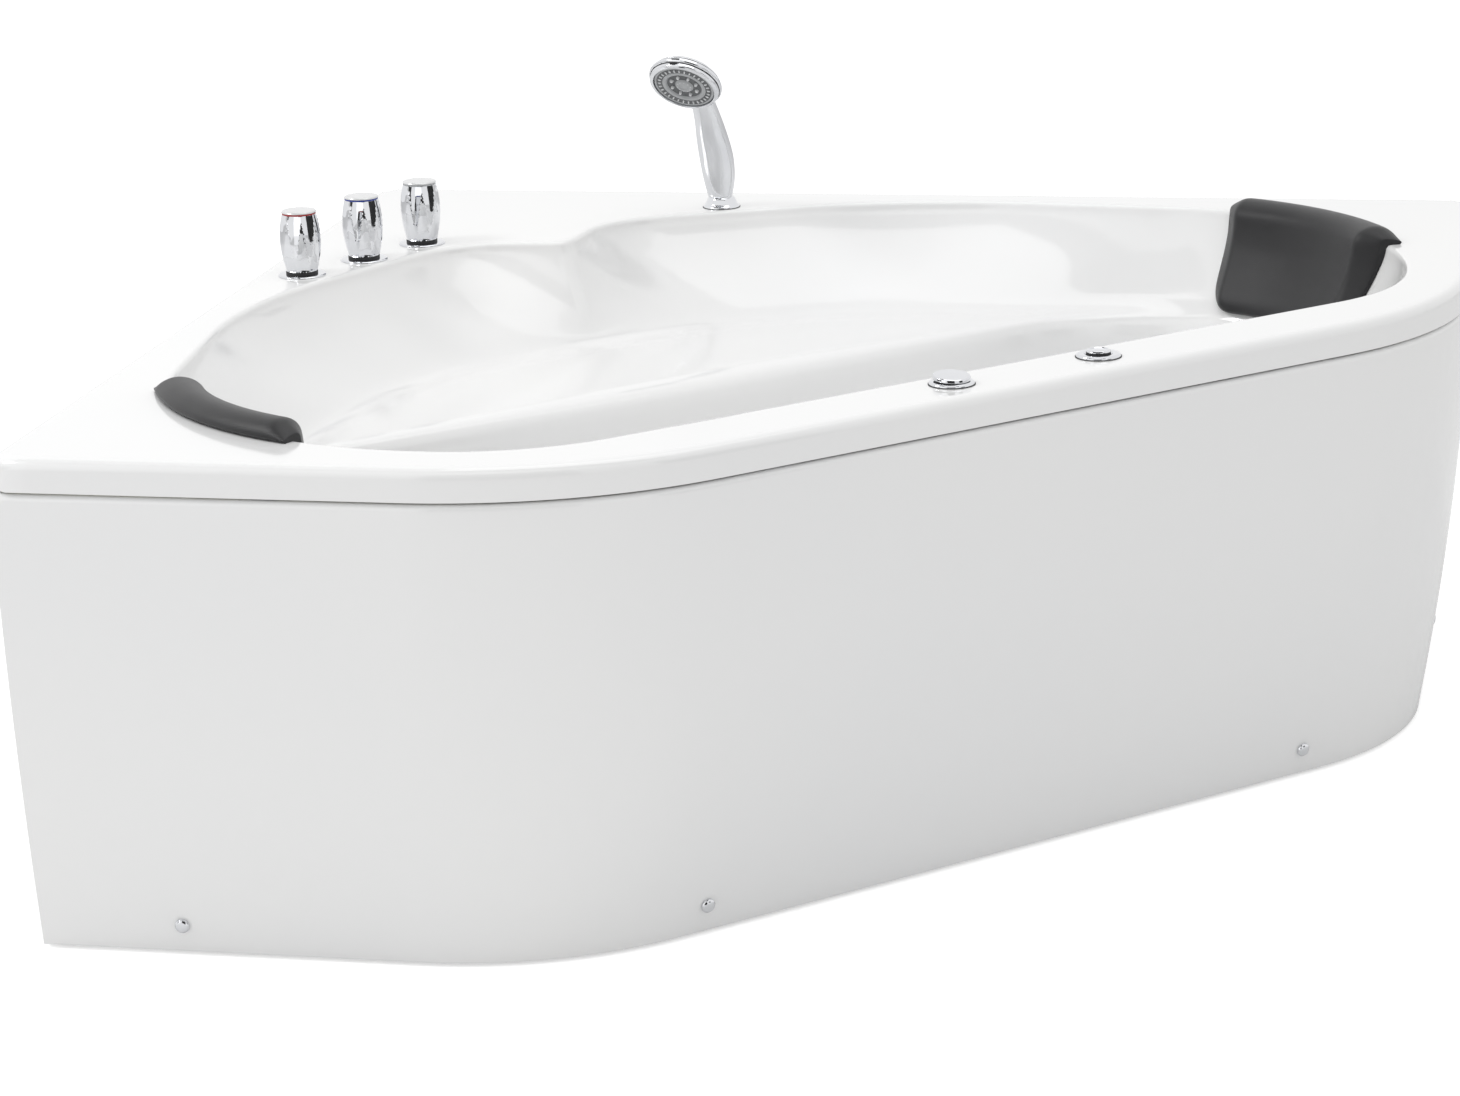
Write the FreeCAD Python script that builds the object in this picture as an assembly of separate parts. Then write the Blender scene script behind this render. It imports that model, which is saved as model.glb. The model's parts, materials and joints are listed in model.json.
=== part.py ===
import FreeCAD, Part
import math
import os
from FreeCAD import Vector

# Corner bathtub, double ended, with a corner seat, deck taps, hand shower and two deck buttons.
# Millimetres, +Z up. The floor is Z = 0 and the origin is under the middle of the tub's square.
# The walls of the room run along X and Y, and their corner is at (-X, +Y).
# Plan sizes are given as (u, v): u from the left wall, v from the back wall.
# Along the tub's axis of symmetry they are (p, q): p from the room corner, q to the right.

# ---- tub, driving dimensions
SIDE = 1500.0              # length along each wall
END_FACE = 629.0           # length of each short end face, up to its corner with the front
UNDER_WELL = 155.0         # floor of the foot well above the floor of the room
SHEET = 5.0                # thickness of the moulded acrylic and its glass backing
LIP_DROP = 36.0            # height of the turned-down rim
FRONT_CORNER_R = 440.0     # plan radius where an end face meets the front
WALL_CORNER_R = 16.0       # plan radius of the corners against the walls
RIM_ROUND = 12.0           # round-over of the rim's outer edge
BASIN_ROUND = 7.0          # round-over of the basin's edge

# Basin opening at deck level and at seat level: half an outline as (u, v, radius) corners,
# from the nose of the corner platform along the left wall to the front.
END_DECK = 79.0            # width of the deck along the short ends
FRONT_DECK = 101.8         # and along the front
SEAT_IN = 70.0             # inset of the seat's outline at the ends
SEAT_FRONT_IN = 14.85      # and at the front
DECK_END_V = SIDE - END_DECK
SEAT_END_V = DECK_END_V - SEAT_IN
FRONT_P = (SIDE + END_FACE) / math.sqrt(2.0)     # the outer front line, from the room corner
DECK_FRONT_P = FRONT_P - FRONT_DECK
SEAT_FRONT_P = DECK_FRONT_P - SEAT_FRONT_IN
DECK_NOSE = (352.0, 352.0, 28.0)
DECK_LOBE = (207.0, 369.0, 130.0)
DECK_FLANK = (38.0, 738.0, 600.0)
DECK_END = (110.0, DECK_END_V, 380.0)
DECK_FRONT = (DECK_FRONT_P * math.sqrt(2.0) - DECK_END_V, DECK_END_V, 250.0)
SEAT_NOSE = (392.0, 392.0, 60.0)
SEAT_LOBE = (252.0, 562.0, 130.0)
SEAT_FLANK = (206.0, 661.0, 300.0)
SEAT_END = (75.0, SEAT_END_V, 310.0)
SEAT_FRONT = (SEAT_FRONT_P * math.sqrt(2.0) - SEAT_END_V, SEAT_END_V, 230.0)
SEAT_DEPTH = 125.0         # seat surface below the deck
WALL_SWEEP = 1.4           # power of the basin wall's inward sweep with depth
WALL_STEPS = 2             # lofted sections between deck and seat
BACKING_ANGLE = 0.21       # largest angle, in radians, of a flat of the glass backing
BACKING_SPANS = 4          # flats along each straight, which twists on its way down
ROUND_STEPS = 2            # lofted sections round an edge
ROUND_SIDES = 20           # flats round a small turned piece
PIN_SIDES = 12             # flats round a pin, a bore or a hole

# Foot well below the seat: half an outline as (p, q, radius) corners.
WELL_DEPTH = 410.0         # well floor below the deck
WELL_NOSE_P = 816.0        # side of the well that faces the room corner
WELL_END_U = 321.0         # start of its end along the left wall
WELL_END_IN = 76.0         # distance from the deck's end edge to the well's end
WELL_FRONT_IN = 19.6       # and from the deck's front edge to the well's front
WELL_END_V = DECK_END_V - WELL_END_IN
WELL_Q = (WELL_END_U - WELL_END_V) / math.sqrt(2.0)
WELL_FRONT_P = DECK_FRONT_P - WELL_FRONT_IN
WELL_TOP = ((WELL_NOSE_P, WELL_Q, 235.0), (WELL_END_U * math.sqrt(2.0) - WELL_Q, WELL_Q, 290.0),
            (WELL_FRONT_P, WELL_FRONT_P - WELL_END_V * math.sqrt(2.0), 180.0))
WELL_DRAFT = 45.0          # inward lean of the well's wall from the seat to its floor
WELL_COVE = 40.0           # inward sweep of the well's wall into its floor
WELL_COVE_RISE = 22.0      # height of that sweep
WELL_OVERLAP = 2.0         # reach of the well's hollow above the seat

# ---- apron
APRON_SHEET = 4.0
APRON_GAP = 2.5            # seam between the rim and the apron
APRON_FLOOR_GAP = 4.0
APRON_END_IN = 52.0        # inset of the apron's foot on the end faces
APRON_FRONT_IN = 69.0      # inset of the apron's foot on the front
APRON_FOOT_R = 370.0
APRON_BOW = 1.7            # power of the apron's inward curve towards the floor
APRON_STEPS = 3
APRON_TOP_ROLL = 7.0       # round-over of the apron's top edge
APRON_FLANGE = 16.0        # return flange along the apron's foot

# ---- headrests: soft pads over the basin's edge at both ends, on the arc of its end wall
PAD_WIDTH = 312.0          # along the arc, at the deck edge
PAD_OVER_DECK = 22.0       # overlap of the deck
PAD_CREST = 20.0           # height above the deck
PAD_HANG = 119.0           # depth below the deck
PAD_THICK = 34.0
PAD_CLEAR = 1.2            # gap between the pad and the basin's wall
PAD_DRAW = 0.42            # share of thickness and height that the ends lose
PAD_STATIONS = 10

# ---- deck taps: hot, cold and shower diverter on the left deck
TAP_PLACES = {"hot": (62.0, 577.0), "cold": (114.0, 479.0), "diverter": (161.0, 374.0)}
TAP_HOLE_R = 15.0
HOLE_CLEAR = 0.3           # radial gap between a fitting's body and its hole
FLANGE_R = 30.0
FLANGE_T = 2.5
KNOB_SIDES = 8
KNOB_BASE_R = 20.0
KNOB_BELLY_R = 25.5
KNOB_TOP_R = 21.0
KNOB_HEIGHT = 71.0
KNOB_GAP = 4.0             # dark gap between flange and knob
KNOB_WALL = 3.0
KNOB_HOLLOW = 0.4          # depth of the hollow, as a share of the knob's height
KNOB_SOCKET = 0.7          # depth of the spindle's socket, likewise
RING_H = 2.5               # coloured ring under the cap
CAP_R = 21.5
CAP_H = 2.5
SPINDLE_R = 4.0
SHAFT_CLEAR = 0.05         # radial clearance of a turning shaft
SINK = 0.3                 # gap between moving and fixed faces
VALVE_R = 17.0
VALVE_LENGTH = 52.0
TAP_STEM_R = 14.5
TAP_NUT_R = 22.0
INLET_R = 10.48            # G1/2 thread
INLET_LENGTH = 16.0
MIXER_R = 8.0

# ---- hand shower in its deck holder
SHOWER_PLACE = (503.0, 108.0)
SHOWER_FACING = -100.3     # direction in plan that the spray points, degrees from +X
HOLDER_R = 24.5
HOLDER_TOP_R = 15.0
HOLDER_H = 15.0
HOLDER_FLANGE_T = 3.0
HOLDER_STEM = 45.0         # length of the holder's stem below the deck
HOLDER_STEM_R = 12.5
SHOWER_HOLE_R = 13.0
TAIL_R = 8.5               # tail of the handset in its holder
TAIL_LENGTH = 40.0
HEAD_R = 49.0
HEAD_FACE_R = 41.0
HEAD_DEPTH = 30.0
HEAD_TILT = 43.4           # spray direction below the horizontal
FACE_FORWARD = 120.0       # centre of the spray face from the holder's axis
FACE_HEIGHT = 179.0        # and above the deck
FACE_RECESS = 8.0
FACE_STEP = 2.5            # face plate below its bezel
OUTER_NOZZLES = 30
INNER_NOZZLES = 8
OUTER_NOZZLE_RING = 33.0   # radius of the ring of outer nozzles
INNER_NOZZLE_RING = 17.0
NOZZLE_R = 1.6
NOZZLE_H = 2.0
HANDLE_SIDES = 12
HANDLE_STATIONS = ((2.0, 15.3, 15.0, 12.0), (4.6, 46.0, 19.5, 14.5), (12.7, 72.0, 20.5, 15.5),
                   (24.3, 98.0, 19.0, 14.5), (38.0, 130.0, 15.0, 12.5), (74.0, 178.0, 13.0, 11.0))

# ---- air regulator and pump button on the front deck
BUTTON_IN = 59.4           # their axes from the outer front line
AIR_Q = -89.0
PUSH_Q = 115.0
DECK_RING_R = 25.5
DECK_RING_H = 4.0
DECK_BODY_R = 18.0
DECK_BODY_LENGTH = 38.0
NIPPLE_R = 4.0
NIPPLE_LENGTH = 14.0
DECK_NUT_R = 24.0
DECK_NUT_H = 7.0
DECK_POCKET_R = 15.0       # pocket of a fitting under the deck
DECK_POCKET = 12.0         # and its depth
DECK_STEM_R = 6.0
DECK_STEM_DEPTH = 24.0
AIR_CAP_R = 20.0
AIR_CAP_LOW = 4.0          # thickness of the regulator's cap on its low side
AIR_CAP_HIGH = 7.5         # and on its high side
PUSH_TRAVEL = 4.0
PUSH_PROUD = 4.5           # crown of the button above its ring

# ---- waste and overflow
DRAIN_IN = 144.0           # drain from the front side of the well
DRAIN_FLANGE_R = 35.0
DRAIN_HOLE_R = 26.0
DRAIN_BORE_R = 20.0
DRAIN_FLANGE_T = 2.0
PLUG_R = 27.0
PLUG_H = 5.0
DRAIN_NECK_R = 25.0
DRAIN_COLLAR_R = 36.0
GASKET_T = 3.0
TRAP_R = 32.0
TRAP_Z = 20.0              # underside of the trap above the floor
WASTE_H = 49.0             # height of the waste body under its gasket
OUTLET_Z = 45.0
COLLAR_T = 4.0
NECK_BELOW = 24.0          # neck of the waste below its gasket
FIN_T = 2.0                # guide fins of the plug
FIN_H = 22.0
OUTLET_R = 20.0
OUTLET_LENGTH = 60.0
OUTLET_COLLAR = 6.0        # reach of the collar round the outlet
OUTLET_COLLAR_T = 3.5
OVERFLOW_DROP = 68.0       # overflow axis below the deck
OVERFLOW_R = 36.0
OVERFLOW_HOLE_R = 26.0
OVERFLOW_DEPTH = 14.0
OVERFLOW_SLEEVE = 13.0     # reach of the sleeve into the basin
OVERFLOW_SLEEVE_R = 25.0
OVERFLOW_BODY_R = 30.0
OVERFLOW_AXLE = 20.0
OVERFLOW_BACK = 24.4       # line of the overflow pipe behind the edge of the front deck
OVERFLOW_RUN_UP = 21.0     # its run to the waste above the trap
PIPE_R = 13.0
PIPE_WALL = 2.0

# ---- carrying frame, legs and base board
BOARD_T = 16.0
TUBE = 30.0                # square tube of the rails
POST = 20.0                # square tube of the posts
TUBE_WALL = 2.0
STUD_R = 6.0
STUD_IN_RAIL = 22.0
FOOT_R = 25.0
FOOT_H = 12.0
NUT_R = 10.5               # across corners
NUT_H = 9.0
BOARD_CLEAR = 45.0         # base board inside the foot of the well's walls
BOARD_HOLE_ROOM = 6.0      # room round the waste in the board
END_RAIL_IN = 80.0         # outer side of the end rails from the end faces
FRONT_RAIL_IN = 96.0       # outer side of the front rail from the front
WALL_RAIL_IN = 12.0        # outer side of the wall rails from the walls
CROSS_RAILS = (650.0, 960.0, 1180.0)    # cross rails from the room corner
POST_Q = 350.0
STRUT_Q = 250.0            # seat struts on the first cross rail
LEG_BACK = 50.0            # middle legs from the middle of the walls
CORNER_LEG_V = 150.0       # corner legs from the walls, clear of the waste pipe

# ---- apron fasteners
SCREW_HEIGHT = 36.0
SCREW_HEAD_R = 8.5
SCREW_HEAD_H = 6.0
SCREW_R = 2.5
SCREW_LENGTH = 22.0
SCREW_END_U = 168.0         # end screws from the walls
SCREW_FRONT_Q = 425.0       # front screws from the middle of the front
BRACKET_W = 40.0
BRACKET_T = 3.0
BRACKET_LAP = 24.0         # lap of the bracket under its rail
CLIP_W = 30.0
CLIP_T = 3.0
CLIP_UP = 21.0             # reach of the clip up the inside of the rim
CLIP_END_U = 300.0
CLIP_FRONT_Q = 350.0

# ---- derived levels
HALF = SIDE / 2
ROOT2 = math.sqrt(2.0)
RIM_HEIGHT = UNDER_WELL + WELL_DEPTH        # top of the deck above the floor
FRONT_SUM = SIDE + END_FACE                 # u + v along the outer front line
BUTTON_P = FRONT_P - BUTTON_IN
DRAIN_P = WELL_FRONT_P - DRAIN_IN
OVERFLOW_PIPE_P = DECK_FRONT_P + OVERFLOW_BACK
SEAT_Z = RIM_HEIGHT - SEAT_DEPTH
WELL_Z = UNDER_WELL
LIP_Z = RIM_HEIGHT - LIP_DROP
APRON_TOP_Z = LIP_Z - APRON_GAP
GASKET_LOW = WELL_Z - SHEET - GASKET_T
TRAP_TOP = GASKET_LOW - WASTE_H
OVERFLOW_RUN_Z = TRAP_TOP + OVERFLOW_RUN_UP
BOARD_TOP = WELL_Z - SHEET
BOARD_Z = BOARD_TOP - BOARD_T
CROSS_Z = BOARD_Z - TUBE                    # underside of the cross rails
RAIL_Z = CROSS_Z - TUBE                     # underside of the ring of rails
UP = Vector(0, 0, 1)
FORWARD = Vector(1, -1, 0).normalize()      # from the room corner to the middle of the front
TO_LEFT_WALL = Vector(-1, 0, 0)


def at(u, v, z):
    """A point from its distances to the left wall and the back wall."""
    return Vector(u - HALF, HALF - v, z)


def across(p, q, z):
    """A point from its distance to the room corner and its offset to the right."""
    return at((p + q) / ROOT2, (p - q) / ROOT2, z)


def mirrored(half):
    """The whole outline of corners from the half on the left of the axis of symmetry."""
    on_axis = [c for c in half if abs(c[0] - c[1]) < 1e-6]
    left = [c for c in half if abs(c[0] - c[1]) >= 1e-6]
    right = [(v, u, r) for u, v, r in reversed(left)]
    return on_axis + left + right


def from_axis(half):
    """(u, v, radius) corners of a whole outline from the (p, q, radius) corners of its left half."""
    whole = list(half) + [(p, -q, r) for p, q, r in reversed(half)]
    return [((p + q) / ROOT2, (p - q) / ROOT2, r) for p, q, r in whole]


def blend(first, last, share):
    """Corners a share of the way from one outline to another."""
    return [tuple(a + (b - a) * share for a, b in zip(c, d)) for c, d in zip(first, last)]


def turn(before, here, after):
    """Unit directions out of a corner, half the angle between them and whether it bends inwards."""
    back = (before - here).normalize()
    ahead = (after - here).normalize()
    return back, ahead, back.getAngle(ahead) / 2, back.cross(ahead).z


def outline_points(corners, z):
    return [at(u, v, z) for u, v, radius in corners]


def area_sign(points):
    total = 0.0
    for i, point in enumerate(points):
        other = points[(i + 1) % len(points)]
        total += point.x * other.y - other.x * point.y
    return math.copysign(1.0, total)


def grown(corners, distance):
    """The outline with every side moved outwards by a distance."""
    points = outline_points(corners, 0.0)
    sign = area_sign(points)
    result = []
    for i, (u, v, radius) in enumerate(corners):
        back, ahead, half, side = turn(points[i - 1], points[i], points[(i + 1) % len(points)])
        bends_in = side * sign > 0
        outward = distance if bends_in else -distance
        moved = points[i] + (back + ahead).normalize() * (outward / math.sin(half))
        result.append((moved.x + HALF, HALF - moved.y, radius - outward))
    return result


def outline(corners, z):
    """Closed wire: straight sides joined by tangent arcs at the corners."""
    points = outline_points(corners, z)
    arcs = []
    for i, (u, v, radius) in enumerate(corners):
        back, ahead, half, side = turn(points[i - 1], points[i], points[(i + 1) % len(points)])
        reach = radius / math.tan(half)
        middle = points[i] + (back + ahead).normalize() * (radius / math.sin(half) - radius)
        arcs.append((points[i] + back * reach, middle, points[i] + ahead * reach))
    edges = []
    for i, (start, middle, end) in enumerate(arcs):
        edges.append(Part.Arc(start, middle, end).toShape())
        edges.append(Part.LineSegment(end, arcs[(i + 1) % len(arcs)][0]).toShape())
    return Part.Wire(edges)


def flats(corners):
    """Number of flats of the backing on each arc and each straight of an outline, in turn."""
    points = outline_points(corners, 0.0)
    counts = []
    for i in range(len(points)):
        half = turn(points[i - 1], points[i], points[(i + 1) % len(points)])[2]
        counts += [max(1, math.ceil((math.pi - 2 * half) / BACKING_ANGLE)), BACKING_SPANS]
    return counts


def backing(corners, z, counts):
    """Points of an outline with flats in place of its arcs, for the laid-up side that nobody sees."""
    points = []
    for edge, count in zip(outline(corners, z).Edges, counts):
        points += edge.discretize(Number=count + 1)[:-1]
    return points


def slab(corners, low, high):
    """Straight-sided solid on an outline between two heights."""
    return Part.Face(outline(corners, low)).extrude(Vector(0, 0, high - low))


def tub_outline(wall, end, front, radius, corner):
    """The tub's five-sided plan, inset by its own distance on the walls, the ends and the front."""
    far = SIDE - end
    near = FRONT_SUM - front * ROOT2 - far
    return [(wall, wall, corner), (wall, far, corner), (near, far, radius),
            (far, near, radius), (far, wall, corner)]


def rounding(size):
    """(outward offset, drop) pairs round a convex quarter edge, from the top face down."""
    angles = [math.pi / 2 * step / ROUND_STEPS for step in range(ROUND_STEPS + 1)]
    return [(size * (1 - math.sin(a)), size * (1 - math.cos(a))) for a in angles]


def cove(size):
    """(share of the inward sweep, drop) pairs round a hollow edge, from the wall down to the floor."""
    angles = [math.pi / 2 * step / ROUND_STEPS for step in range(ROUND_STEPS + 1)]
    return [(1 - math.cos(a), size * math.sin(a)) for a in angles]


def ruled(wires):
    return Part.makeLoft(wires, True, True)


def basin_levels(extra):
    """(corners, height) of the basin's sections, with its walls moved outwards by extra."""
    deck = mirrored((DECK_NOSE, DECK_LOBE, DECK_FLANK, DECK_END, DECK_FRONT))
    seat = mirrored((SEAT_NOSE, SEAT_LOBE, SEAT_FLANK, SEAT_END, SEAT_FRONT))
    levels = [(grown(deck, extra + out), RIM_HEIGHT - drop) for out, drop in rounding(BASIN_ROUND)]
    fall = SEAT_DEPTH + extra - BASIN_ROUND
    for step in range(1, WALL_STEPS + 1):
        share = step / WALL_STEPS
        level = grown(blend(deck, seat, share ** WALL_SWEEP), extra)
        levels.append((level, RIM_HEIGHT - BASIN_ROUND - share * fall))
    return levels


def well_levels(extra):
    """(corners, height) of the foot well's sections, from the seat down to the floor of the tub."""
    top = grown(from_axis(WELL_TOP), extra)
    foot = grown(top, -WELL_DRAFT)
    levels = [(top, SEAT_Z + WELL_OVERLAP)]
    for share, drop in cove(WELL_COVE_RISE):
        levels.append((grown(foot, -WELL_COVE * share), WELL_Z - extra + WELL_COVE_RISE - drop))
    return levels


def smooth(levels):
    """Hollow through the sections, with true arcs round its corners."""
    return ruled([outline(corners, z) for corners, z in levels])


def laid_up(levels):
    """The same hollow in flats."""
    counts = flats(levels[0][0])
    return skin([backing(corners, z, counts) for corners, z in levels])


def rounded_slab(corners, low, high, size):
    """Solid on an outline whose top edge is rounded over."""
    wires = [outline(grown(corners, -out), high - drop) for out, drop in rounding(size)]
    return ruled(wires + [outline(corners, low)])


def post(point, radius, height, axis=UP):
    return Part.makeCylinder(radius, height, point, axis)


def ring(radius, z, sides, turned=0.0):
    """Points of a regular polygon about the Z axis, turned by a share of one side."""
    step = 2 * math.pi / sides
    return [Vector(radius * math.cos(step * (i + turned)), radius * math.sin(step * (i + turned)), z)
            for i in range(sides)]


def closed(faces):
    """Solid from flat faces that enclose it."""
    solid = Part.Solid(Part.Shell(faces))
    return solid if solid.Volume > 0 else solid.reversed()


def flat(points):
    return Part.Face(Part.makePolygon(points + [points[0]]))


def skin(rings):
    """Solid of flat triangles through rings of points, with a flat face at each end."""
    faces = [flat(rings[0]), flat(rings[-1])]
    for low, high in zip(rings, rings[1:]):
        for i, here in enumerate(low):
            after = (i + 1) % len(low)
            faces += [flat([here, low[after], high[after]]), flat([here, high[after], high[i]])]
    return closed(faces)


def placed(shape, point, axis):
    """A shape built at the origin along +Z, moved to a point and turned along an axis."""
    moved = shape.copy()
    moved.Placement = FreeCAD.Placement(point, FreeCAD.Rotation(UP, axis))
    return moved


def prism(point, radius, sides, height, axis=UP):
    """Solid with a regular polygon of the given corner radius as its base."""
    return placed(flat(ring(radius, 0, sides)).extrude(UP * height), point, axis)


def pin(point, radius, height, axis=UP):
    return prism(point, radius, PIN_SIDES, height, axis)


def bore(point, radius, height, axis=UP):
    """Cutter whose flats stand a radius from the axis, so that a pin of that radius turns in it."""
    return pin(point, radius / math.cos(math.pi / PIN_SIDES), height, axis)


def turned(profile, point, axis=UP, sides=ROUND_SIDES):
    """Piece turned from a closed profile of (radius, height) points, with flats round it."""
    rings = [ring(radius, height, sides) for radius, height in profile]
    faces = []
    for i, low in enumerate(rings):
        high = rings[(i + 1) % len(rings)]
        radii = profile[i][0], profile[(i + 1) % len(rings)][0]
        for here in range(sides):
            after = (here + 1) % sides
            corners = [low[here]] + [low[after]] * (radii[0] > 0)
            corners += [high[after]] + [high[here]] * (radii[1] > 0)
            if max(radii) > 0:
                faces.append(flat(corners))
    return placed(closed(faces).removeSplitter(), point, axis)


def bar(start, end, width, height, top):
    """Rectangular bar between two plan points, hung below a height."""
    along = end - start
    length = along.Length
    shape = Part.makeBox(length, width, height, Vector(0, -width / 2, 0))
    angle = math.degrees(math.atan2(along.y, along.x))
    shape.Placement = FreeCAD.Placement(Vector(start.x, start.y, top - height),
                                        FreeCAD.Rotation(UP, angle))
    return shape


def hollow_bar(start, end, width, height, top, wall):
    core = bar(start, end, width - 2 * wall, height - 2 * wall, top - wall)
    return bar(start, end, width, height, top).cut(core)


# ---- tub and apron

def deck_holes():
    """Holes through the sheet for the taps, the hand shower, the buttons, the waste and the overflow."""
    low = RIM_HEIGHT - 2 * SHEET
    through = 3 * SHEET
    holes = [pin(at(u, v, low), TAP_HOLE_R, through) for u, v in TAP_PLACES.values()]
    holes.append(pin(at(*SHOWER_PLACE, low), SHOWER_HOLE_R, through))
    holes += [pin(across(BUTTON_P, q, low), DECK_BODY_R + HOLE_CLEAR, through) for q in (AIR_Q, PUSH_Q)]
    holes.append(pin(drain_point(WELL_Z - 2 * SHEET), DRAIN_HOLE_R, through))
    holes.append(pin(overflow_point(-6 * SHEET), OVERFLOW_HOLE_R, 12 * SHEET, FORWARD))
    return holes


def tub_shell():
    """Deck with its turned-down rim, basin, seat and foot well, moulded in one sheet."""
    body = rounded_slab(tub_outline(0, 0, 0, FRONT_CORNER_R, WALL_CORNER_R), LIP_Z, RIM_HEIGHT, RIM_ROUND)
    inner = tub_outline(SHEET, SHEET, SHEET, FRONT_CORNER_R - SHEET, WALL_CORNER_R - SHEET)
    room = ruled([outline(grown(inner, -RIM_ROUND / 2), RIM_HEIGHT - SHEET),
                  outline(inner, RIM_HEIGHT - SHEET - RIM_ROUND / 2), outline(inner, LIP_Z - SHEET)])
    deck = body.cut(room)
    under_deck = slab(inner, SEAT_Z - 2 * SHEET, RIM_HEIGHT - SHEET / 2)
    moulding = laid_up(basin_levels(SHEET)[1:]).common(under_deck)
    shell = deck.fuse([moulding, laid_up(well_levels(SHEET))])
    return shell.cut([smooth(basin_levels(0)), smooth(well_levels(0))] + deck_holes())


def apron_level(share, sheet):
    """Plan of the apron's face a share of the way down, inset by sheet."""
    inset = share ** APRON_BOW
    radius = FRONT_CORNER_R + (APRON_FOOT_R - FRONT_CORNER_R) * inset
    return tub_outline(0, APRON_END_IN * inset + sheet, APRON_FRONT_IN * inset + sheet,
                       radius - sheet, 1.0)


def apron_levels(sheet, top, roll):
    """(corners, height) of the apron's sections, inset by sheet."""
    fall = APRON_TOP_Z - APRON_FLOOR_GAP
    levels = [(apron_level(0.0, sheet + out), top - drop) for out, drop in rounding(roll)]
    for step in range(1, APRON_STEPS + 1):
        share = step / APRON_STEPS
        levels.append((apron_level(share, sheet), APRON_TOP_Z - share * fall))
    return levels


def apron_panel():
    """Moulded panel round both ends and the front, with a rolled top edge and a foot flange."""
    face = smooth(apron_levels(0.0, APRON_TOP_Z, APRON_TOP_ROLL))
    levels = apron_levels(APRON_SHEET, APRON_TOP_Z - APRON_SHEET, APRON_TOP_ROLL - APRON_SHEET / 2)
    room = laid_up(levels[:1] + levels[ROUND_STEPS:])
    edge = apron_level(0.0, APRON_FLANGE)
    inside = flat(backing(edge, APRON_TOP_Z - 3 * APRON_SHEET, flats(edge))).extrude(UP * RIM_HEIGHT)
    panel = face.cut([room, inside])
    foot_low = APRON_FLOOR_GAP
    foot = slab(apron_level(1.0, APRON_SHEET / 2), foot_low, foot_low + APRON_SHEET)
    foot = foot.cut(slab(apron_level(1.0, APRON_FLANGE), foot_low, foot_low + APRON_SHEET))
    back = Part.makeBox(SIDE, SHEET, RIM_HEIGHT, at(0, SHEET, 0))
    side = Part.makeBox(SHEET, SIDE, RIM_HEIGHT, at(0, SIDE, 0))
    return panel.fuse(foot).cut([back, side] + [screw_hole(*place) for place in screw_places()])


def screw_hole(point, out):
    return pin(point - out * SCREW_LENGTH, SCREW_R + HOLE_CLEAR, 2 * SCREW_LENGTH, out)


def apron_inset(z):
    """Share of the apron's full inset at a height, on the flats between its sections."""
    place = (APRON_TOP_Z - z) / (APRON_TOP_Z - APRON_FLOOR_GAP) * APRON_STEPS
    step = min(int(place), APRON_STEPS - 1)
    low, high = [(n / APRON_STEPS) ** APRON_BOW for n in (step, step + 1)]
    return low + (high - low) * (place - step)


def apron_normal(out, foot_in):
    """The outward direction square to the apron's lowest band, which leans in towards the floor."""
    fall = SCREW_HEIGHT - APRON_FLOOR_GAP
    lean = foot_in * (apron_inset(APRON_FLOOR_GAP) - apron_inset(SCREW_HEIGHT)) / fall
    return (out - UP * lean).normalize()


def screw_places():
    """Points on the apron's face at its four screws, with the face's outward direction."""
    inset = apron_inset(SCREW_HEIGHT)
    end = SIDE - APRON_END_IN * inset
    front = FRONT_P - APRON_FRONT_IN * inset
    left = apron_normal(Vector(0, -1, 0), APRON_END_IN)
    right = apron_normal(Vector(1, 0, 0), APRON_END_IN)
    middle = apron_normal(FORWARD, APRON_FRONT_IN)
    fronts = [(across(front, q, SCREW_HEIGHT), middle) for q in (-SCREW_FRONT_Q, SCREW_FRONT_Q)]
    return [(at(SCREW_END_U, end, SCREW_HEIGHT), left), *fronts, (at(end, SCREW_END_U, SCREW_HEIGHT), right)]


# ---- headrests

def end_wall_centre():
    """Centre in plan, as (u, v), of the arc that the basin's left end wall follows."""
    before, here, after = [Vector(u, v, 0) for u, v, r in (DECK_FLANK, DECK_END, DECK_FRONT)]
    back, ahead, half, side = turn(before, here, after)
    return here + (back + ahead).normalize() * (DECK_END[2] / math.sin(half))


def wall_reach(depth):
    """Distance from that centre to the end wall at a depth below the deck."""
    share = max(0.0, depth - BASIN_ROUND) / (SEAT_DEPTH - BASIN_ROUND)
    step = min(int(share * WALL_STEPS), WALL_STEPS - 1)
    low, high = [(s / WALL_STEPS) ** WALL_SWEEP for s in (step, step + 1)]
    sweep = low + (high - low) * (share * WALL_STEPS - step)
    return DECK_END[2] + (SEAT_END[2] - DECK_END[2]) * sweep


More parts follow.
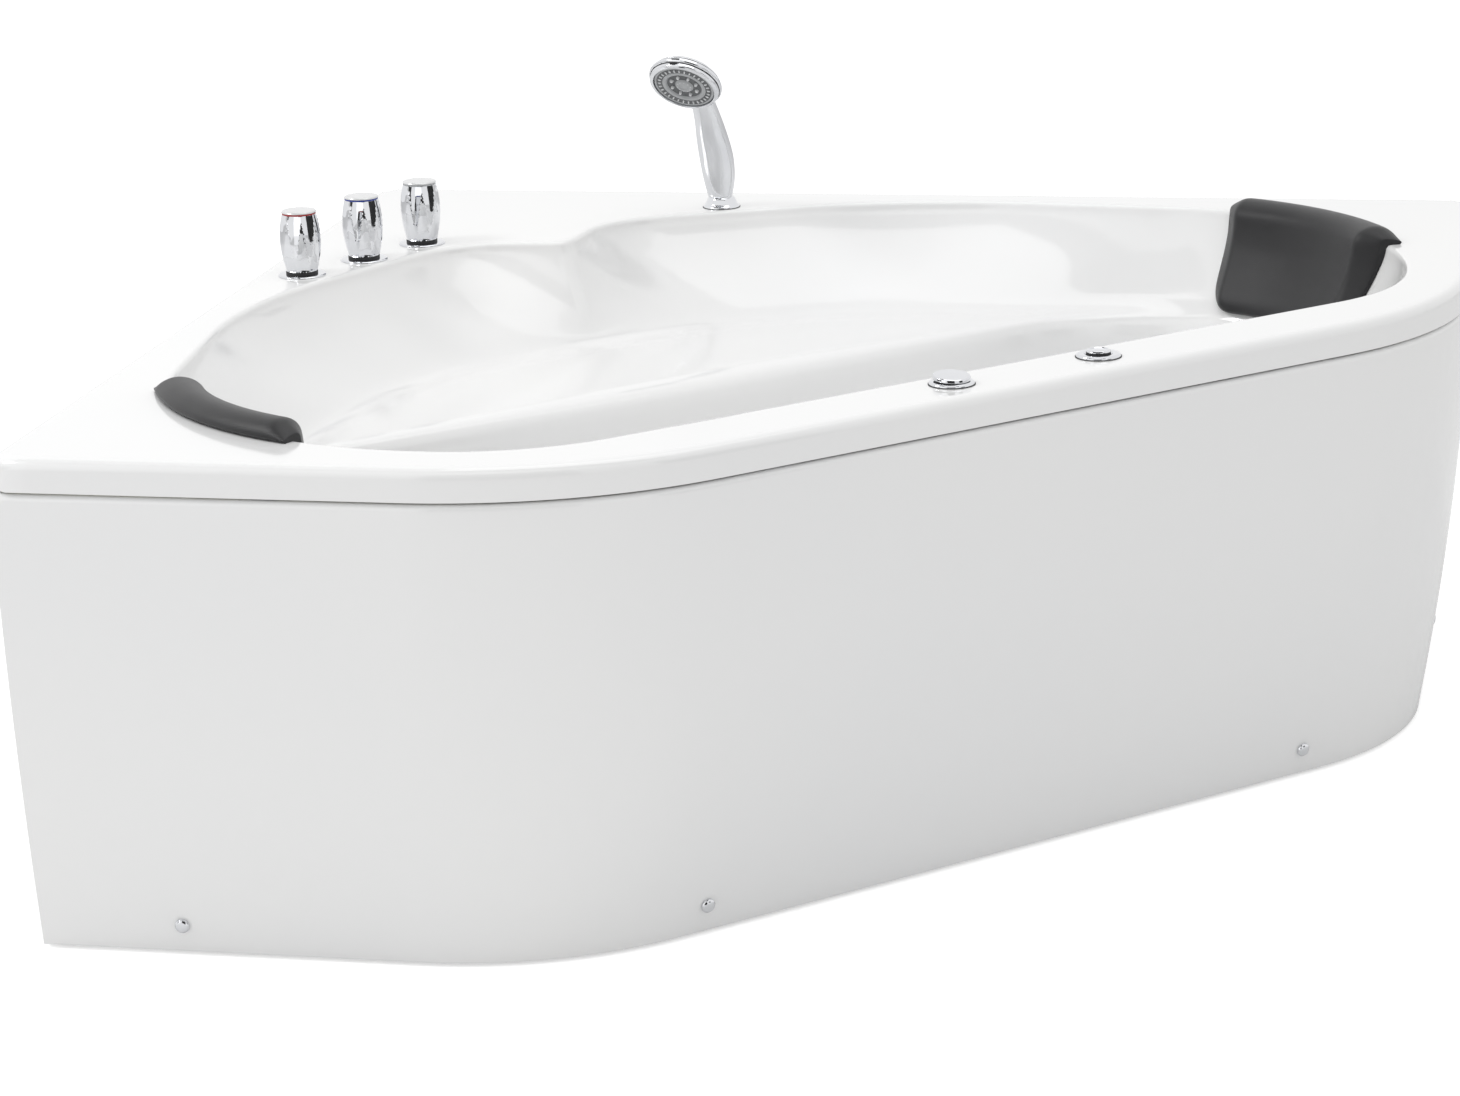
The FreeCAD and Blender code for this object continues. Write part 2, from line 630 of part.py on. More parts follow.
def pad_section(full):
    """(reach, height) outline of the pad at a station; full is 1 in the middle and 0 at the tips."""
    edge = DECK_END[2]
    keep = 1 - PAD_DRAW * (1 - full)
    hang = PAD_HANG * (1 - PAD_DRAW * (1 - full) / 2)
    thick = PAD_THICK * keep
    crest = PAD_CREST * keep
    back = [(wall_reach(hang * s) - PAD_CLEAR, -hang * s) for s in (0.93, 0.54, 0.25)]
    lap = [(edge + out - PAD_CLEAR, -drop) for out, drop in reversed(rounding(BASIN_ROUND))]
    lap += [(edge + PAD_OVER_DECK - 3, 0.0), (edge + PAD_OVER_DECK, 3.0)]
    top = [(edge + PAD_OVER_DECK * r, crest * h) for r, h in ((0.75, 0.7), (0.2, 1.0))]
    nose = [(edge - thick * r, crest * h) for r, h in ((0.45, 0.95), (0.95, 0.45))]
    front = [(wall_reach(hang * s) - thick * w, -hang * s)
             for s, w in ((0.1, 1.12), (0.35, 1.0), (0.6, 0.86), (0.85, 0.78), (0.96, 0.6))]
    return back + lap + top + nose + front + [(wall_reach(hang) - thick * 0.3, -hang)]


def headrest(flip):
    """Soft pad hung over the basin's edge, crowned along its width and drawn in at its tips."""
    centre = end_wall_centre()
    half_turn = math.asin(PAD_WIDTH / 2 / (DECK_END[2] + PAD_OVER_DECK))
    rings = []
    for station in range(PAD_STATIONS + 1):
        eased = math.sin((station / PAD_STATIONS - 0.5) * math.pi)
        angle = 0.75 * math.pi + eased * half_turn
        points = []
        for reach, height in pad_section(math.sqrt(1 - eased ** 4)):
            plan = centre + Vector(math.cos(angle), math.sin(angle), 0) * reach
            u, v = (plan.y, plan.x) if flip else (plan.x, plan.y)
            points.append(at(u, v, RIM_HEIGHT + height))
        rings.append(points)
    return skin(rings)


# ---- taps

def tap_knob(foot):
    """Barrel knob with flat flutes, hollow underneath, with a socket for its spindle."""
    levels = ((0.0, KNOB_BASE_R, 0.0), (0.12, KNOB_BASE_R + 2, 0.5), (0.5, KNOB_BELLY_R, 0.0),
              (0.75, KNOB_BELLY_R - 1.5, 0.5), (1.0, KNOB_TOP_R, 0.0))
    rings = [ring(radius, share * KNOB_HEIGHT, KNOB_SIDES * 2, twist) for share, radius, twist in levels]
    hollow = pin(Vector(0, 0, 0), KNOB_BASE_R - KNOB_WALL, KNOB_HEIGHT * KNOB_HOLLOW)
    socket = pin(Vector(0, 0, 0), SPINDLE_R, KNOB_HEIGHT * KNOB_SOCKET)
    return placed(skin(rings).cut([hollow, socket]), foot, UP)


def tap(name, place):
    """The turning nodes of one deck tap: knob, ring, cap and spindle."""
    deck = at(*place, RIM_HEIGHT)
    foot = deck + UP * (FLANGE_T + KNOB_GAP)
    top = foot + UP * KNOB_HEIGHT
    low = deck - UP * (VALVE_LENGTH / 2)
    cap = [(0, 0), (CAP_R, 0), (CAP_R, CAP_H / 2), (CAP_R - CAP_H / 2, CAP_H), (0, CAP_H)]
    return {
        name + "_knob": tap_knob(foot),
        name + "_ring": prism(top, KNOB_TOP_R - SINK, ROUND_SIDES, RING_H),
        name + "_cap": turned(cap, top + UP * RING_H),
        name + "_spindle": pin(low, SPINDLE_R, foot.z + KNOB_HEIGHT * KNOB_SOCKET - low.z),
    }


def tap_flange(place):
    profile = [(SPINDLE_R + 2 * SINK, 0), (FLANGE_R, 0), (FLANGE_R, FLANGE_T / 2),
               (FLANGE_R - FLANGE_T, FLANGE_T), (SPINDLE_R + 2 * SINK, FLANGE_T)]
    return turned(profile, at(*place, RIM_HEIGHT))


def tap_valve(place):
    """Valve body under the deck: stem through the hole, bored for the spindle, and a threaded inlet."""
    deck = at(*place, RIM_HEIGHT)
    low = deck - UP * (VALVE_LENGTH + VALVE_R)
    stem = pin(low, TAP_STEM_R, deck.z - low.z)
    body = pin(low, VALVE_R, VALVE_LENGTH)
    inlet = post(low - UP * INLET_LENGTH, INLET_R, INLET_LENGTH)
    seat = bore(deck - UP * (VALVE_LENGTH / 2 + SINK), SPINDLE_R + SHAFT_CLEAR, VALVE_LENGTH)
    return stem.fuse([body, inlet]).cut(seat)


def deck_nut(point, corner, hole):
    """Hexagonal nut that clamps a fitting to the underside of the deck."""
    low = point - UP * (SHEET + DECK_NUT_H)
    return prism(low, corner, 6, DECK_NUT_H).cut(pin(low, hole, DECK_NUT_H))


def deck_nuts():
    taps = [deck_nut(at(*place, RIM_HEIGHT), TAP_NUT_R, TAP_STEM_R) for place in TAP_PLACES.values()]
    shower = deck_nut(shower_point(0, 0), TAP_NUT_R, HOLDER_STEM_R)
    fittings = [deck_nut(across(BUTTON_P, q, RIM_HEIGHT), DECK_NUT_R, DECK_BODY_R) for q in (AIR_Q, PUSH_Q)]
    return taps + [shower] + fittings


def mixer_pipe():
    """Pipe that links the bodies of the three valves under the deck."""
    level = RIM_HEIGHT - VALVE_LENGTH
    centres = [at(*place, level) for place in TAP_PLACES.values()]
    bodies = [pin(c - UP * VALVE_LENGTH, VALVE_R, 2 * VALVE_LENGTH) for c in centres]
    return [pin(a, MIXER_R, (b - a).Length, b - a).cut(bodies) for a, b in zip(centres, centres[1:])]


# ---- hand shower

def facing():
    angle = math.radians(SHOWER_FACING)
    return Vector(math.cos(angle), math.sin(angle), 0)


def spray_direction():
    tilt = math.radians(HEAD_TILT)
    return facing() * math.cos(tilt) - UP * math.sin(tilt)


def shower_point(forward, height):
    """A point in the hand shower's plane of symmetry, from the holder's axis and the deck."""
    return at(*SHOWER_PLACE, RIM_HEIGHT + height) + facing() * forward


def handset_base():
    """Deck holder: flange, domed collar and threaded stem, bored for the tail of the handset."""
    collar = [(0, 0), (HOLDER_R, 0), (HOLDER_R, HOLDER_FLANGE_T), (HOLDER_R - 4, HOLDER_FLANGE_T + 4),
              (HOLDER_TOP_R + 3, HOLDER_H - 4), (HOLDER_TOP_R, HOLDER_H), (0, HOLDER_H)]
    stem = pin(shower_point(0, -HOLDER_STEM), HOLDER_STEM_R, HOLDER_STEM)
    tail_way = bore(shower_point(0, -HOLDER_STEM), TAIL_R + SHAFT_CLEAR, HOLDER_STEM + HOLDER_H)
    return turned(collar, shower_point(0, 0)).fuse(stem).cut(tail_way)


def handle_ring(station, lean):
    """Oval section of the handle, leaning some radians forward of the vertical."""
    forward, height, half_width, half_depth = station
    side = facing().cross(UP)
    front = facing() * math.cos(lean) - UP * math.sin(lean)
    points = []
    for step in range(HANDLE_SIDES):
        angle = 2 * math.pi * step / HANDLE_SIDES
        rise = front * (half_depth * math.sin(angle))
        points.append(shower_point(forward, height) + side * (half_width * math.cos(angle)) + rise)
    return points


def handset_body():
    """Handle and head shell, one chromed moulding with a tail that stands in the holder."""
    rings = [handle_ring(HANDLE_STATIONS[0], 0.0)]
    for before, here in zip(HANDLE_STATIONS, HANDLE_STATIONS[1:]):
        rings.append(handle_ring(here, math.atan2(here[0] - before[0], here[1] - before[1])))
    floor = HEAD_DEPTH - FACE_RECESS
    shell = [(0, 0), (HEAD_R * 0.45, 2), (HEAD_R * 0.8, 8), (HEAD_R - 1.5, 15), (HEAD_R, 18), (HEAD_R, 21),
             (HEAD_R - 2, 23), (HEAD_R - 3, 26), (HEAD_FACE_R + 2.5, HEAD_DEPTH),
             (HEAD_FACE_R, HEAD_DEPTH), (HEAD_FACE_R, floor), (0, floor)]
    face = shower_point(FACE_FORWARD, FACE_HEIGHT)
    recess = pin(face - spray_direction() * FACE_RECESS, HEAD_FACE_R, 3 * FACE_RECESS, spray_direction())
    head = turned(shell, face - spray_direction() * HEAD_DEPTH, spray_direction())
    tail = pin(shower_point(0, HOLDER_H - TAIL_LENGTH), TAIL_R, TAIL_LENGTH + 2 * SINK)
    return skin(rings).cut(recess).fuse([head, tail])


def spray_face():
    """Face plate of the head, which turns to change the spray, with a sunk ring for the inner nozzles."""
    depth = FACE_RECESS - FACE_STEP
    edge = (HEAD_FACE_R - SINK) * math.cos(math.pi / ROUND_SIDES)
    inner, outer = INNER_NOZZLE_RING - 5, INNER_NOZZLE_RING + 5
    profile = [(0, SINK), (edge, SINK), (edge, depth), (outer, depth), (outer - 1, depth - 1),
               (inner + 1, depth - 1), (inner, depth), (0, depth)]
    return turned(profile, shower_point(FACE_FORWARD, FACE_HEIGHT) - spray_direction() * FACE_RECESS,
                  spray_direction())


def spray_nozzles():
    """Rings of soft nozzles that stand on the face plate."""
    studs = []
    plate = FACE_RECESS - FACE_STEP
    rings = ((OUTER_NOZZLES, OUTER_NOZZLE_RING, plate), (INNER_NOZZLES, INNER_NOZZLE_RING, plate - 1))
    for count, reach, level in rings:
        for i in range(count):
            angle = 2 * math.pi * i / count
            place = Vector(math.cos(angle), math.sin(angle), 0) * reach
            studs.append(prism(place + UP * level, NOZZLE_R, 4, NOZZLE_H))
    seat = shower_point(FACE_FORWARD, FACE_HEIGHT) - spray_direction() * FACE_RECESS
    return placed(Part.makeCompound(studs), seat, spray_direction())


# ---- deck fittings

def fitting_ring(q):
    profile = [(DECK_POCKET_R, 0), (DECK_RING_R, 0), (DECK_RING_R, DECK_RING_H / 3),
               (DECK_RING_R - DECK_RING_H, DECK_RING_H), (DECK_POCKET_R, DECK_RING_H)]
    return turned(profile, across(BUTTON_P, q, RIM_HEIGHT))


def fitting_body(q):
    """Body under the front deck, with a pocket and a bored guide for the stem of its cap."""
    point = across(BUTTON_P, q, RIM_HEIGHT)
    barrel = pin(point - UP * DECK_BODY_LENGTH, DECK_BODY_R, DECK_BODY_LENGTH)
    nipple = pin(point - UP * (DECK_BODY_LENGTH + NIPPLE_LENGTH), NIPPLE_R, NIPPLE_LENGTH)
    pocket = pin(point - UP * DECK_POCKET, DECK_POCKET_R, DECK_POCKET)
    guide_depth = DECK_STEM_DEPTH + PUSH_TRAVEL + 2 * SINK
    guide = bore(point - UP * guide_depth, DECK_STEM_R + SHAFT_CLEAR, guide_depth)
    return barrel.fuse(nipple).cut([pocket, guide])


def air_knob():
    """Turning cap of the air regulator, with a sloping top face, on its stem."""
    point = across(BUTTON_P, AIR_Q, RIM_HEIGHT)
    low = DECK_RING_H + SINK
    cap = prism(point + UP * low, AIR_CAP_R, ROUND_SIDES, AIR_CAP_HIGH)
    room = 4 * AIR_CAP_R
    lid = Part.makeBox(room, room, room, Vector(-room / 2, -room / 2, 0))
    slope = math.atan2(AIR_CAP_HIGH - AIR_CAP_LOW, 2 * AIR_CAP_R)
    middle = point + UP * (low + (AIR_CAP_HIGH + AIR_CAP_LOW) / 2)
    lid = placed(lid, middle, UP * math.cos(slope) + FORWARD * math.sin(slope))
    stem = pin(point - UP * DECK_STEM_DEPTH, DECK_STEM_R, DECK_STEM_DEPTH + low + AIR_CAP_LOW / 2)
    return cap.cut(lid).fuse(stem)


def push_button():
    """Pump button: a stepped cap in its ring, with a guide stem in the body below."""
    radius = DECK_POCKET_R * math.cos(math.pi / PIN_SIDES) - SINK
    top = DECK_RING_H + PUSH_PROUD
    foot = -DECK_POCKET + PUSH_TRAVEL + 1
    point = across(BUTTON_P, PUSH_Q, RIM_HEIGHT)
    profile = [(0, foot), (radius, foot), (radius, top - 1.5), (radius - 3, top), (radius - 4.5, top - 1),
               (0, top)]
    stem = pin(point - UP * DECK_STEM_DEPTH, DECK_STEM_R, DECK_STEM_DEPTH)
    return turned(profile, point).fuse(stem)


# ---- waste and overflow

def overflow_point(outward):
    """A point on the overflow's axis, measured outwards from the basin's front edge."""
    return across(DECK_FRONT_P + outward, 0, RIM_HEIGHT - OVERFLOW_DROP)


def drain_point(z):
    return across(DRAIN_P, 0, z)


def drain_flange():
    """Waste rim on the well's floor, with the neck that screws down through the hole."""
    low = GASKET_LOW - NECK_BELOW
    rim = turned([(0, 0), (DRAIN_FLANGE_R, 0), (DRAIN_FLANGE_R - 1, DRAIN_FLANGE_T), (0, DRAIN_FLANGE_T)],
                 drain_point(WELL_Z))
    neck = pin(drain_point(low), DRAIN_NECK_R, WELL_Z - low)
    return rim.fuse(neck).cut(bore(drain_point(low), DRAIN_BORE_R, WELL_Z + DRAIN_FLANGE_T - low))


def drain_gasket():
    low = drain_point(GASKET_LOW)
    return pin(low, DRAIN_COLLAR_R, GASKET_T).cut(pin(low, DRAIN_NECK_R, GASKET_T))


def drain_body():
    """Waste body under the floor: collar, socket for the neck, and an outlet down to the trap."""
    collar = pin(drain_point(GASKET_LOW - COLLAR_T), DRAIN_COLLAR_R, COLLAR_T)
    barrel = pin(drain_point(TRAP_TOP), TRAP_R, GASKET_LOW - TRAP_TOP)
    neck = pin(drain_point(GASKET_LOW - NECK_BELOW), DRAIN_NECK_R, NECK_BELOW)
    throat = pin(drain_point(TRAP_TOP), DRAIN_NECK_R - PIPE_WALL, NECK_BELOW)
    return collar.fuse(barrel).cut([neck, throat, overflow_run(PIPE_R)])


def drain_trap():
    """Low trap under the waste, with a collared horizontal outlet towards the left wall."""
    cup = pin(drain_point(TRAP_Z), TRAP_R, TRAP_TOP - TRAP_Z)
    inside = pin(drain_point(TRAP_Z + PIPE_WALL), TRAP_R - PIPE_WALL, TRAP_TOP - TRAP_Z)
    reach = TRAP_R + OUTLET_COLLAR
    collar = pin(drain_point(OUTLET_Z), OUTLET_R + OUTLET_COLLAR_T, reach, TO_LEFT_WALL)
    outlet = post(drain_point(OUTLET_Z) + TO_LEFT_WALL * reach, OUTLET_R, OUTLET_LENGTH, TO_LEFT_WALL)
    way_out = pin(drain_point(OUTLET_Z), OUTLET_R - PIPE_WALL, reach + OUTLET_LENGTH, TO_LEFT_WALL)
    return cup.fuse([collar, outlet]).cut([inside, way_out])


def drain_plug():
    """Pop-up plug: domed disc, stem and crossed guide fins in the waste's bore."""
    seat = WELL_Z + DRAIN_FLANGE_T + SINK
    disc = turned([(0, 0), (PLUG_R, 0), (PLUG_R, PLUG_H / 2), (PLUG_R - 3, PLUG_H), (0, PLUG_H)],
                  drain_point(seat))
    reach = DRAIN_BORE_R - SHAFT_CLEAR
    fins = [bar(drain_point(0) - way * reach, drain_point(0) + way * reach, FIN_T, FIN_H, seat)
            for way in (Vector(1, 0, 0), Vector(0, 1, 0))]
    return disc.fuse([pin(drain_point(seat - FIN_H * 1.5), SPINDLE_R, FIN_H * 1.5)] + fins)


def overflow_run(radius):
    """Horizontal run of the overflow pipe, over the front rail, to the waste body."""
    start = across(OVERFLOW_PIPE_P, 0, OVERFLOW_RUN_Z)
    return pin(start, radius, OVERFLOW_PIPE_P - DRAIN_P - TRAP_R + PIPE_WALL, -FORWARD)


def overflow_pipe():
    """Pipe from the overflow body down behind the front wall and across to the waste."""
    foot = across(OVERFLOW_PIPE_P, 0, OVERFLOW_RUN_Z)
    rise = RIM_HEIGHT - OVERFLOW_DROP - OVERFLOW_BODY_R - OVERFLOW_RUN_Z
    elbow = pin(foot - UP * PIPE_R, PIPE_R, rise + PIPE_R)
    inner = PIPE_R - PIPE_WALL
    return elbow.fuse(overflow_run(PIPE_R)).cut([pin(foot, inner, rise), overflow_run(inner)])


def overflow_body():
    """Overflow elbow behind the wall, whose sleeve passes through the sheet into the basin."""
    start = OVERFLOW_BACK
    mouth = overflow_point(-OVERFLOW_SLEEVE)
    low = across(OVERFLOW_PIPE_P, 0, RIM_HEIGHT - OVERFLOW_DROP - OVERFLOW_BODY_R)
    sleeve = pin(mouth, OVERFLOW_SLEEVE_R, OVERFLOW_SLEEVE + start, FORWARD)
    chamber = pin(overflow_point(start - PIPE_R), OVERFLOW_BODY_R, 2 * PIPE_R, FORWARD)
    hollow = pin(mouth + FORWARD * 2 * PIPE_WALL, OVERFLOW_SLEEVE_R - 2 * PIPE_WALL, start + PIPE_R, FORWARD)
    axle_way = bore(mouth, SPINDLE_R + SHAFT_CLEAR, 3 * PIPE_WALL, FORWARD)
    socket = pin(low, PIPE_R, OVERFLOW_BODY_R)
    way_down = pin(low, PIPE_R - PIPE_WALL, OVERFLOW_BODY_R)
    return sleeve.fuse([chamber, socket]).cut([hollow, axle_way, way_down])


def overflow_knob():
    """Round control knob over the overflow, turned to lift the plug."""
    back = overflow_point(-OVERFLOW_SLEEVE - SINK)
    profile = [(0, 0), (OVERFLOW_R, 0), (OVERFLOW_R, OVERFLOW_DEPTH - 3), (OVERFLOW_R - 3, OVERFLOW_DEPTH),
               (0, OVERFLOW_DEPTH)]
    return turned(profile, back, -FORWARD).fuse(pin(back, SPINDLE_R, OVERFLOW_AXLE, FORWARD))


# ---- carrying frame

def rail(start, end, width, top, wall):
    return hollow_bar(start, end, width, width, top, wall)


def wall_rails():
    """Rails along the two walls of the room, meeting in a butt joint at their corner."""
    line = WALL_RAIL_IN + TUBE / 2
    far = SIDE - END_RAIL_IN
    left = rail(at(line, WALL_RAIL_IN, 0), at(line, far, 0), TUBE, CROSS_Z, TUBE_WALL)
    back = rail(at(WALL_RAIL_IN + TUBE, line, 0), at(far, line, 0), TUBE, CROSS_Z, TUBE_WALL)
    return left, back


def end_reach(p):
    """Half the width at p between the middle lines of the two end rails."""
    return ROOT2 * (SIDE - END_RAIL_IN - TUBE / 2) - p


def front_rail():
    p = FRONT_P - FRONT_RAIL_IN - TUBE / 2
    half = end_reach(p) + TUBE / 4
    return rail(across(p, -half, 0), across(p, half, 0), TUBE, CROSS_Z, TUBE_WALL)


def end_rails():
    """Rails along the two ends, mitred to the inner side of the front rail."""
    line = SIDE - END_RAIL_IN - TUBE / 2
    near = WALL_RAIL_IN + TUBE
    left = rail(at(near, line, 0), at(HALF, line, 0), TUBE, CROSS_Z, TUBE_WALL)
    right = rail(at(line, near, 0), at(line, HALF, 0), TUBE, CROSS_Z, TUBE_WALL)
    inner = FRONT_P - FRONT_RAIL_IN - TUBE
    middle = inner + HALF / 2
    beyond = bar(across(middle, -SIDE, 0), across(middle, SIDE, 0), HALF, 2 * TUBE, CROSS_Z + TUBE)
    return left.cut(beyond), right.cut(beyond)


def cross_rails():
    """Rails across the ring, under the base board and the seat."""
    halves = [min(p - ROOT2 * (WALL_RAIL_IN + TUBE), end_reach(p)) for p in CROSS_RAILS]
    lines = [(across(p, -half, 0), across(p, half, 0)) for p, half in zip(CROSS_RAILS, halves)]
    return [rail(start, end, TUBE, BOARD_Z, TUBE_WALL) for start, end in lines]


def upright(centre, low, high, width=POST):
    wall = Vector(TUBE_WALL, TUBE_WALL, 0)
    foot = Vector(centre.x - width / 2, centre.y - width / 2, low)
    outer = Part.makeBox(width, width, high - low, foot)
    inner = width - 2 * TUBE_WALL
    return outer.cut(Part.makeBox(inner, inner, high - low, foot + wall))


def uprights():
    """Posts from the ring of rails to the underside of the deck."""
    line = WALL_RAIL_IN + TUBE - POST / 2
    end = SIDE - END_RAIL_IN - TUBE / 2
    deck = RIM_HEIGHT - SHEET
    posts = [upright(at(u, v, 0), CROSS_Z, deck) for u, v in ((line, line), (line, end), (end, line))]
    p = FRONT_P - FRONT_RAIL_IN + POST / 2
    for q in (-POST_Q, POST_Q):
        base = bar(across(p - POST / 2, q, 0), across(p + POST / 2, q, 0), POST, deck - RAIL_Z, deck)
        start, end_point = across(p - POST / 2 + TUBE_WALL, q, 0), across(p + POST / 2 - TUBE_WALL, q, 0)
        posts.append(base.cut(bar(start, end_point, POST - 2 * TUBE_WALL, deck - RAIL_Z, deck)))
    return posts


def seat_struts():
    """Posts from the first cross rail to the underside of the seat."""
    p = CROSS_RAILS[0]
    return [upright(across(p, q, 0), BOARD_Z, SEAT_Z - SHEET) for q in (-STRUT_Q, STRUT_Q)]


def leg_places():
    """(point at floor level, underside of the rail above) of each levelling leg."""
    line = WALL_RAIL_IN + TUBE / 2
    end = SIDE - END_RAIL_IN - TUBE / 2
    far = HALF - LEG_BACK
    places = [(line, CORNER_LEG_V), (line, far), (line, end), (CORNER_LEG_V, line), (far, line), (end, line)]
    p = FRONT_P - FRONT_RAIL_IN - TUBE / 2
    ring = [at(u, v, 0) for u, v in places] + [across(p, q, 0) for q in (-POST_Q, POST_Q)]
    return [(point, RAIL_Z) for point in ring] + [(across(CROSS_RAILS[1], 0, 0), CROSS_Z)]


def studs():
    low = FOOT_H / 3
    return [pin(point + UP * low, STUD_R, top + STUD_IN_RAIL - low) for point, top in leg_places()]


def leg_nuts():
    nuts = [prism(point + UP * (top - NUT_H), NUT_R, 6, NUT_H) for point, top in leg_places()]
    return [nut.cut(stud) for nut, stud in zip(nuts, studs())]


def foot_pads():
    profile = [(0, 0), (FOOT_R, 0), (FOOT_R, FOOT_H / 2), (STUD_R * 1.6, FOOT_H), (0, FOOT_H)]
    pads = [turned(profile, point, UP, PIN_SIDES) for point, top in leg_places()]
    return [pad.cut(stud) for pad, stud in zip(pads, studs())]


def base_board():
    """Board under the floor of the foot well, cut round the waste."""
    foot = grown(grown(from_axis(WELL_TOP), -WELL_DRAFT), -BOARD_CLEAR)
    board = flat(backing(foot, BOARD_Z, flats(foot))).extrude(UP * BOARD_T)
    return board.cut(pin(drain_point(BOARD_Z), DRAIN_COLLAR_R + BOARD_HOLE_ROOM, BOARD_T))


# ---- apron fasteners

def oriented(shape, point, out):
    """A shape drawn with +X pointing outwards, moved to a point on an outer face."""
    angle = math.degrees(math.atan2(out.y, out.x))
    moved = shape.copy()
    moved.Placement = FreeCAD.Placement(point, FreeCAD.Rotation(UP, angle))
    return moved


def bracket(point, out, rail_in, foot_in):
    """Angle bracket: a plate under the rail, turned down behind the apron for its screw."""
    foot_z = SCREW_HEIGHT - BRACKET_W / 2
    face = foot_in * (apron_inset(SCREW_HEIGHT) - apron_inset(foot_z)) - APRON_SHEET * 1.2
    back = foot_in * apron_inset(SCREW_HEIGHT) - rail_in - BRACKET_LAP
    side = -BRACKET_W / 2
    plate = Part.makeBox(face - back, BRACKET_W, BRACKET_T, Vector(back, side, RAIL_Z - BRACKET_T - point.z))
    turned_down = Part.makeBox(BRACKET_T, BRACKET_W, RAIL_Z - foot_z,
                               Vector(face - BRACKET_T, side, foot_z - point.z))
    return oriented(plate.fuse(turned_down), point, out).cut(screw_shank(point, out))


def screw_shank(point, out):
    return pin(point, SCREW_R, SCREW_LENGTH, -out)


def screw(point, out):
    """Screw with a flat head on the apron's face."""
    head = pin(point, SCREW_R * 2, SCREW_HEAD_H / 3, out)
    return head.fuse(screw_shank(point, out))


def screw_cap(point, out):
    """Domed cover cap over a screw head."""
    high = SCREW_HEAD_H
    crown = SCREW_HEAD_R / 2
    profile = [(0, 0), (SCREW_HEAD_R, 0), (SCREW_HEAD_R - 1, high / 2), (crown, high), (0, high)]
    dome = turned(profile, point, out, PIN_SIDES)
    return dome.cut(pin(point, SCREW_R * 2, SCREW_HEAD_H / 3, out))


def clip_places():
    """Points at the lip's lower edge on the outer faces, with the outward direction."""
    faces = [(at(CLIP_END_U, SIDE, LIP_Z), Vector(0, -1, 0)), (at(SIDE, CLIP_END_U, LIP_Z), Vector(1, 0, 0))]
    return faces + [(across(FRONT_P, q, LIP_Z), FORWARD) for q in (-CLIP_FRONT_Q, CLIP_FRONT_Q)]


def clip(point, out):
    """Bent clip inside the rim, hooked under the apron's top flange."""
    flange_low = -APRON_GAP - APRON_SHEET
    inner = APRON_FLANGE + CLIP_T / 2
    outline_xz = [(-SHEET, CLIP_UP), (-SHEET, CLIP_T / 3), (-inner, CLIP_T / 3), (-inner, flange_low),
                  (-APRON_TOP_ROLL * 1.5, flange_low), (-APRON_TOP_ROLL * 1.5, flange_low - CLIP_T),
                  (-inner - CLIP_T, flange_low - CLIP_T), (-inner - CLIP_T, CLIP_T * 4 / 3),
                  (-SHEET - CLIP_T, CLIP_T * 4 / 3), (-SHEET - CLIP_T, CLIP_UP)]
    wire = Part.makePolygon([Vector(x, -CLIP_W / 2, z) for x, z in outline_xz + [outline_xz[0]]])
    return oriented(Part.Face(wire).extrude(Vector(0, CLIP_W, 0)), point, out)


# ---- the nodes

def all_nodes():
    """Every node of the assembly, by name."""
    left_rail, back_rail = wall_rails()
    left_end_rail, right_end_rail = end_rails()
    cut = studs()
    screws = screw_places()
    reaches = [(END_RAIL_IN, APRON_END_IN), (FRONT_RAIL_IN, APRON_FRONT_IN),
               (FRONT_RAIL_IN, APRON_FRONT_IN), (END_RAIL_IN, APRON_END_IN)]
    group = Part.makeCompound
    nodes = {
        "tub_shell": tub_shell(),
        "apron_panel": apron_panel(),
        "base_board": base_board(),
        "frame_left_rail": left_rail.cut(cut),
        "frame_back_rail": back_rail.cut(cut),
        "frame_left_end_rail": left_end_rail,
        "frame_right_end_rail": right_end_rail,
        "frame_front_rail": front_rail().cut(cut),
        "frame_cross_rails": group([r.cut(cut) for r in cross_rails()]),
        "frame_uprights": group(uprights()),
        "seat_struts": group(seat_struts()),
        "leg_studs": group(cut),
        "leg_nuts": group(leg_nuts()),
        "foot_pads": group(foot_pads()),
        "apron_brackets": group([bracket(*place, *reach) for place, reach in zip(screws, reaches)]),
        "apron_screws": group([screw(*place) for place in screws]),
        "apron_screw_caps": group([screw_cap(*place) for place in screws]),
        "apron_clips": group([clip(*place) for place in clip_places()]),
        "headrest_left": headrest(False),
        "headrest_right": headrest(True),
        "tap_flanges": group([tap_flange(place) for place in TAP_PLACES.values()]),
        "tap_valves": group([tap_valve(place) for place in TAP_PLACES.values()]),
        "deck_nuts": group(deck_nuts()),
        "mixer_pipe": group(mixer_pipe()),
        "handset_base": handset_base(),
        "handset_body": handset_body(),
        "spray_face": spray_face(),
        "spray_nozzles": spray_nozzles(),
        "deck_rings": group([fitting_ring(q) for q in (AIR_Q, PUSH_Q)]),
        "fitting_bodies": group([fitting_body(q) for q in (AIR_Q, PUSH_Q)]),
        "air_knob": air_knob(),
        "push_button": push_button(),
        "drain_flange": drain_flange(),
        "drain_gasket": drain_gasket(),
        "drain_body": drain_body(),
        "drain_trap": drain_trap(),
        "drain_plug": drain_plug(),
        "overflow_body": overflow_body(),
        "overflow_pipe": overflow_pipe(),
        "overflow_knob": overflow_knob(),
    }
    for name, place in TAP_PLACES.items():
        nodes.update(tap(name, place))
    return nodes


os.makedirs("parts", exist_ok=True)
for node, shape in all_nodes().items():
    shape.exportStep("parts/" + node + ".step")
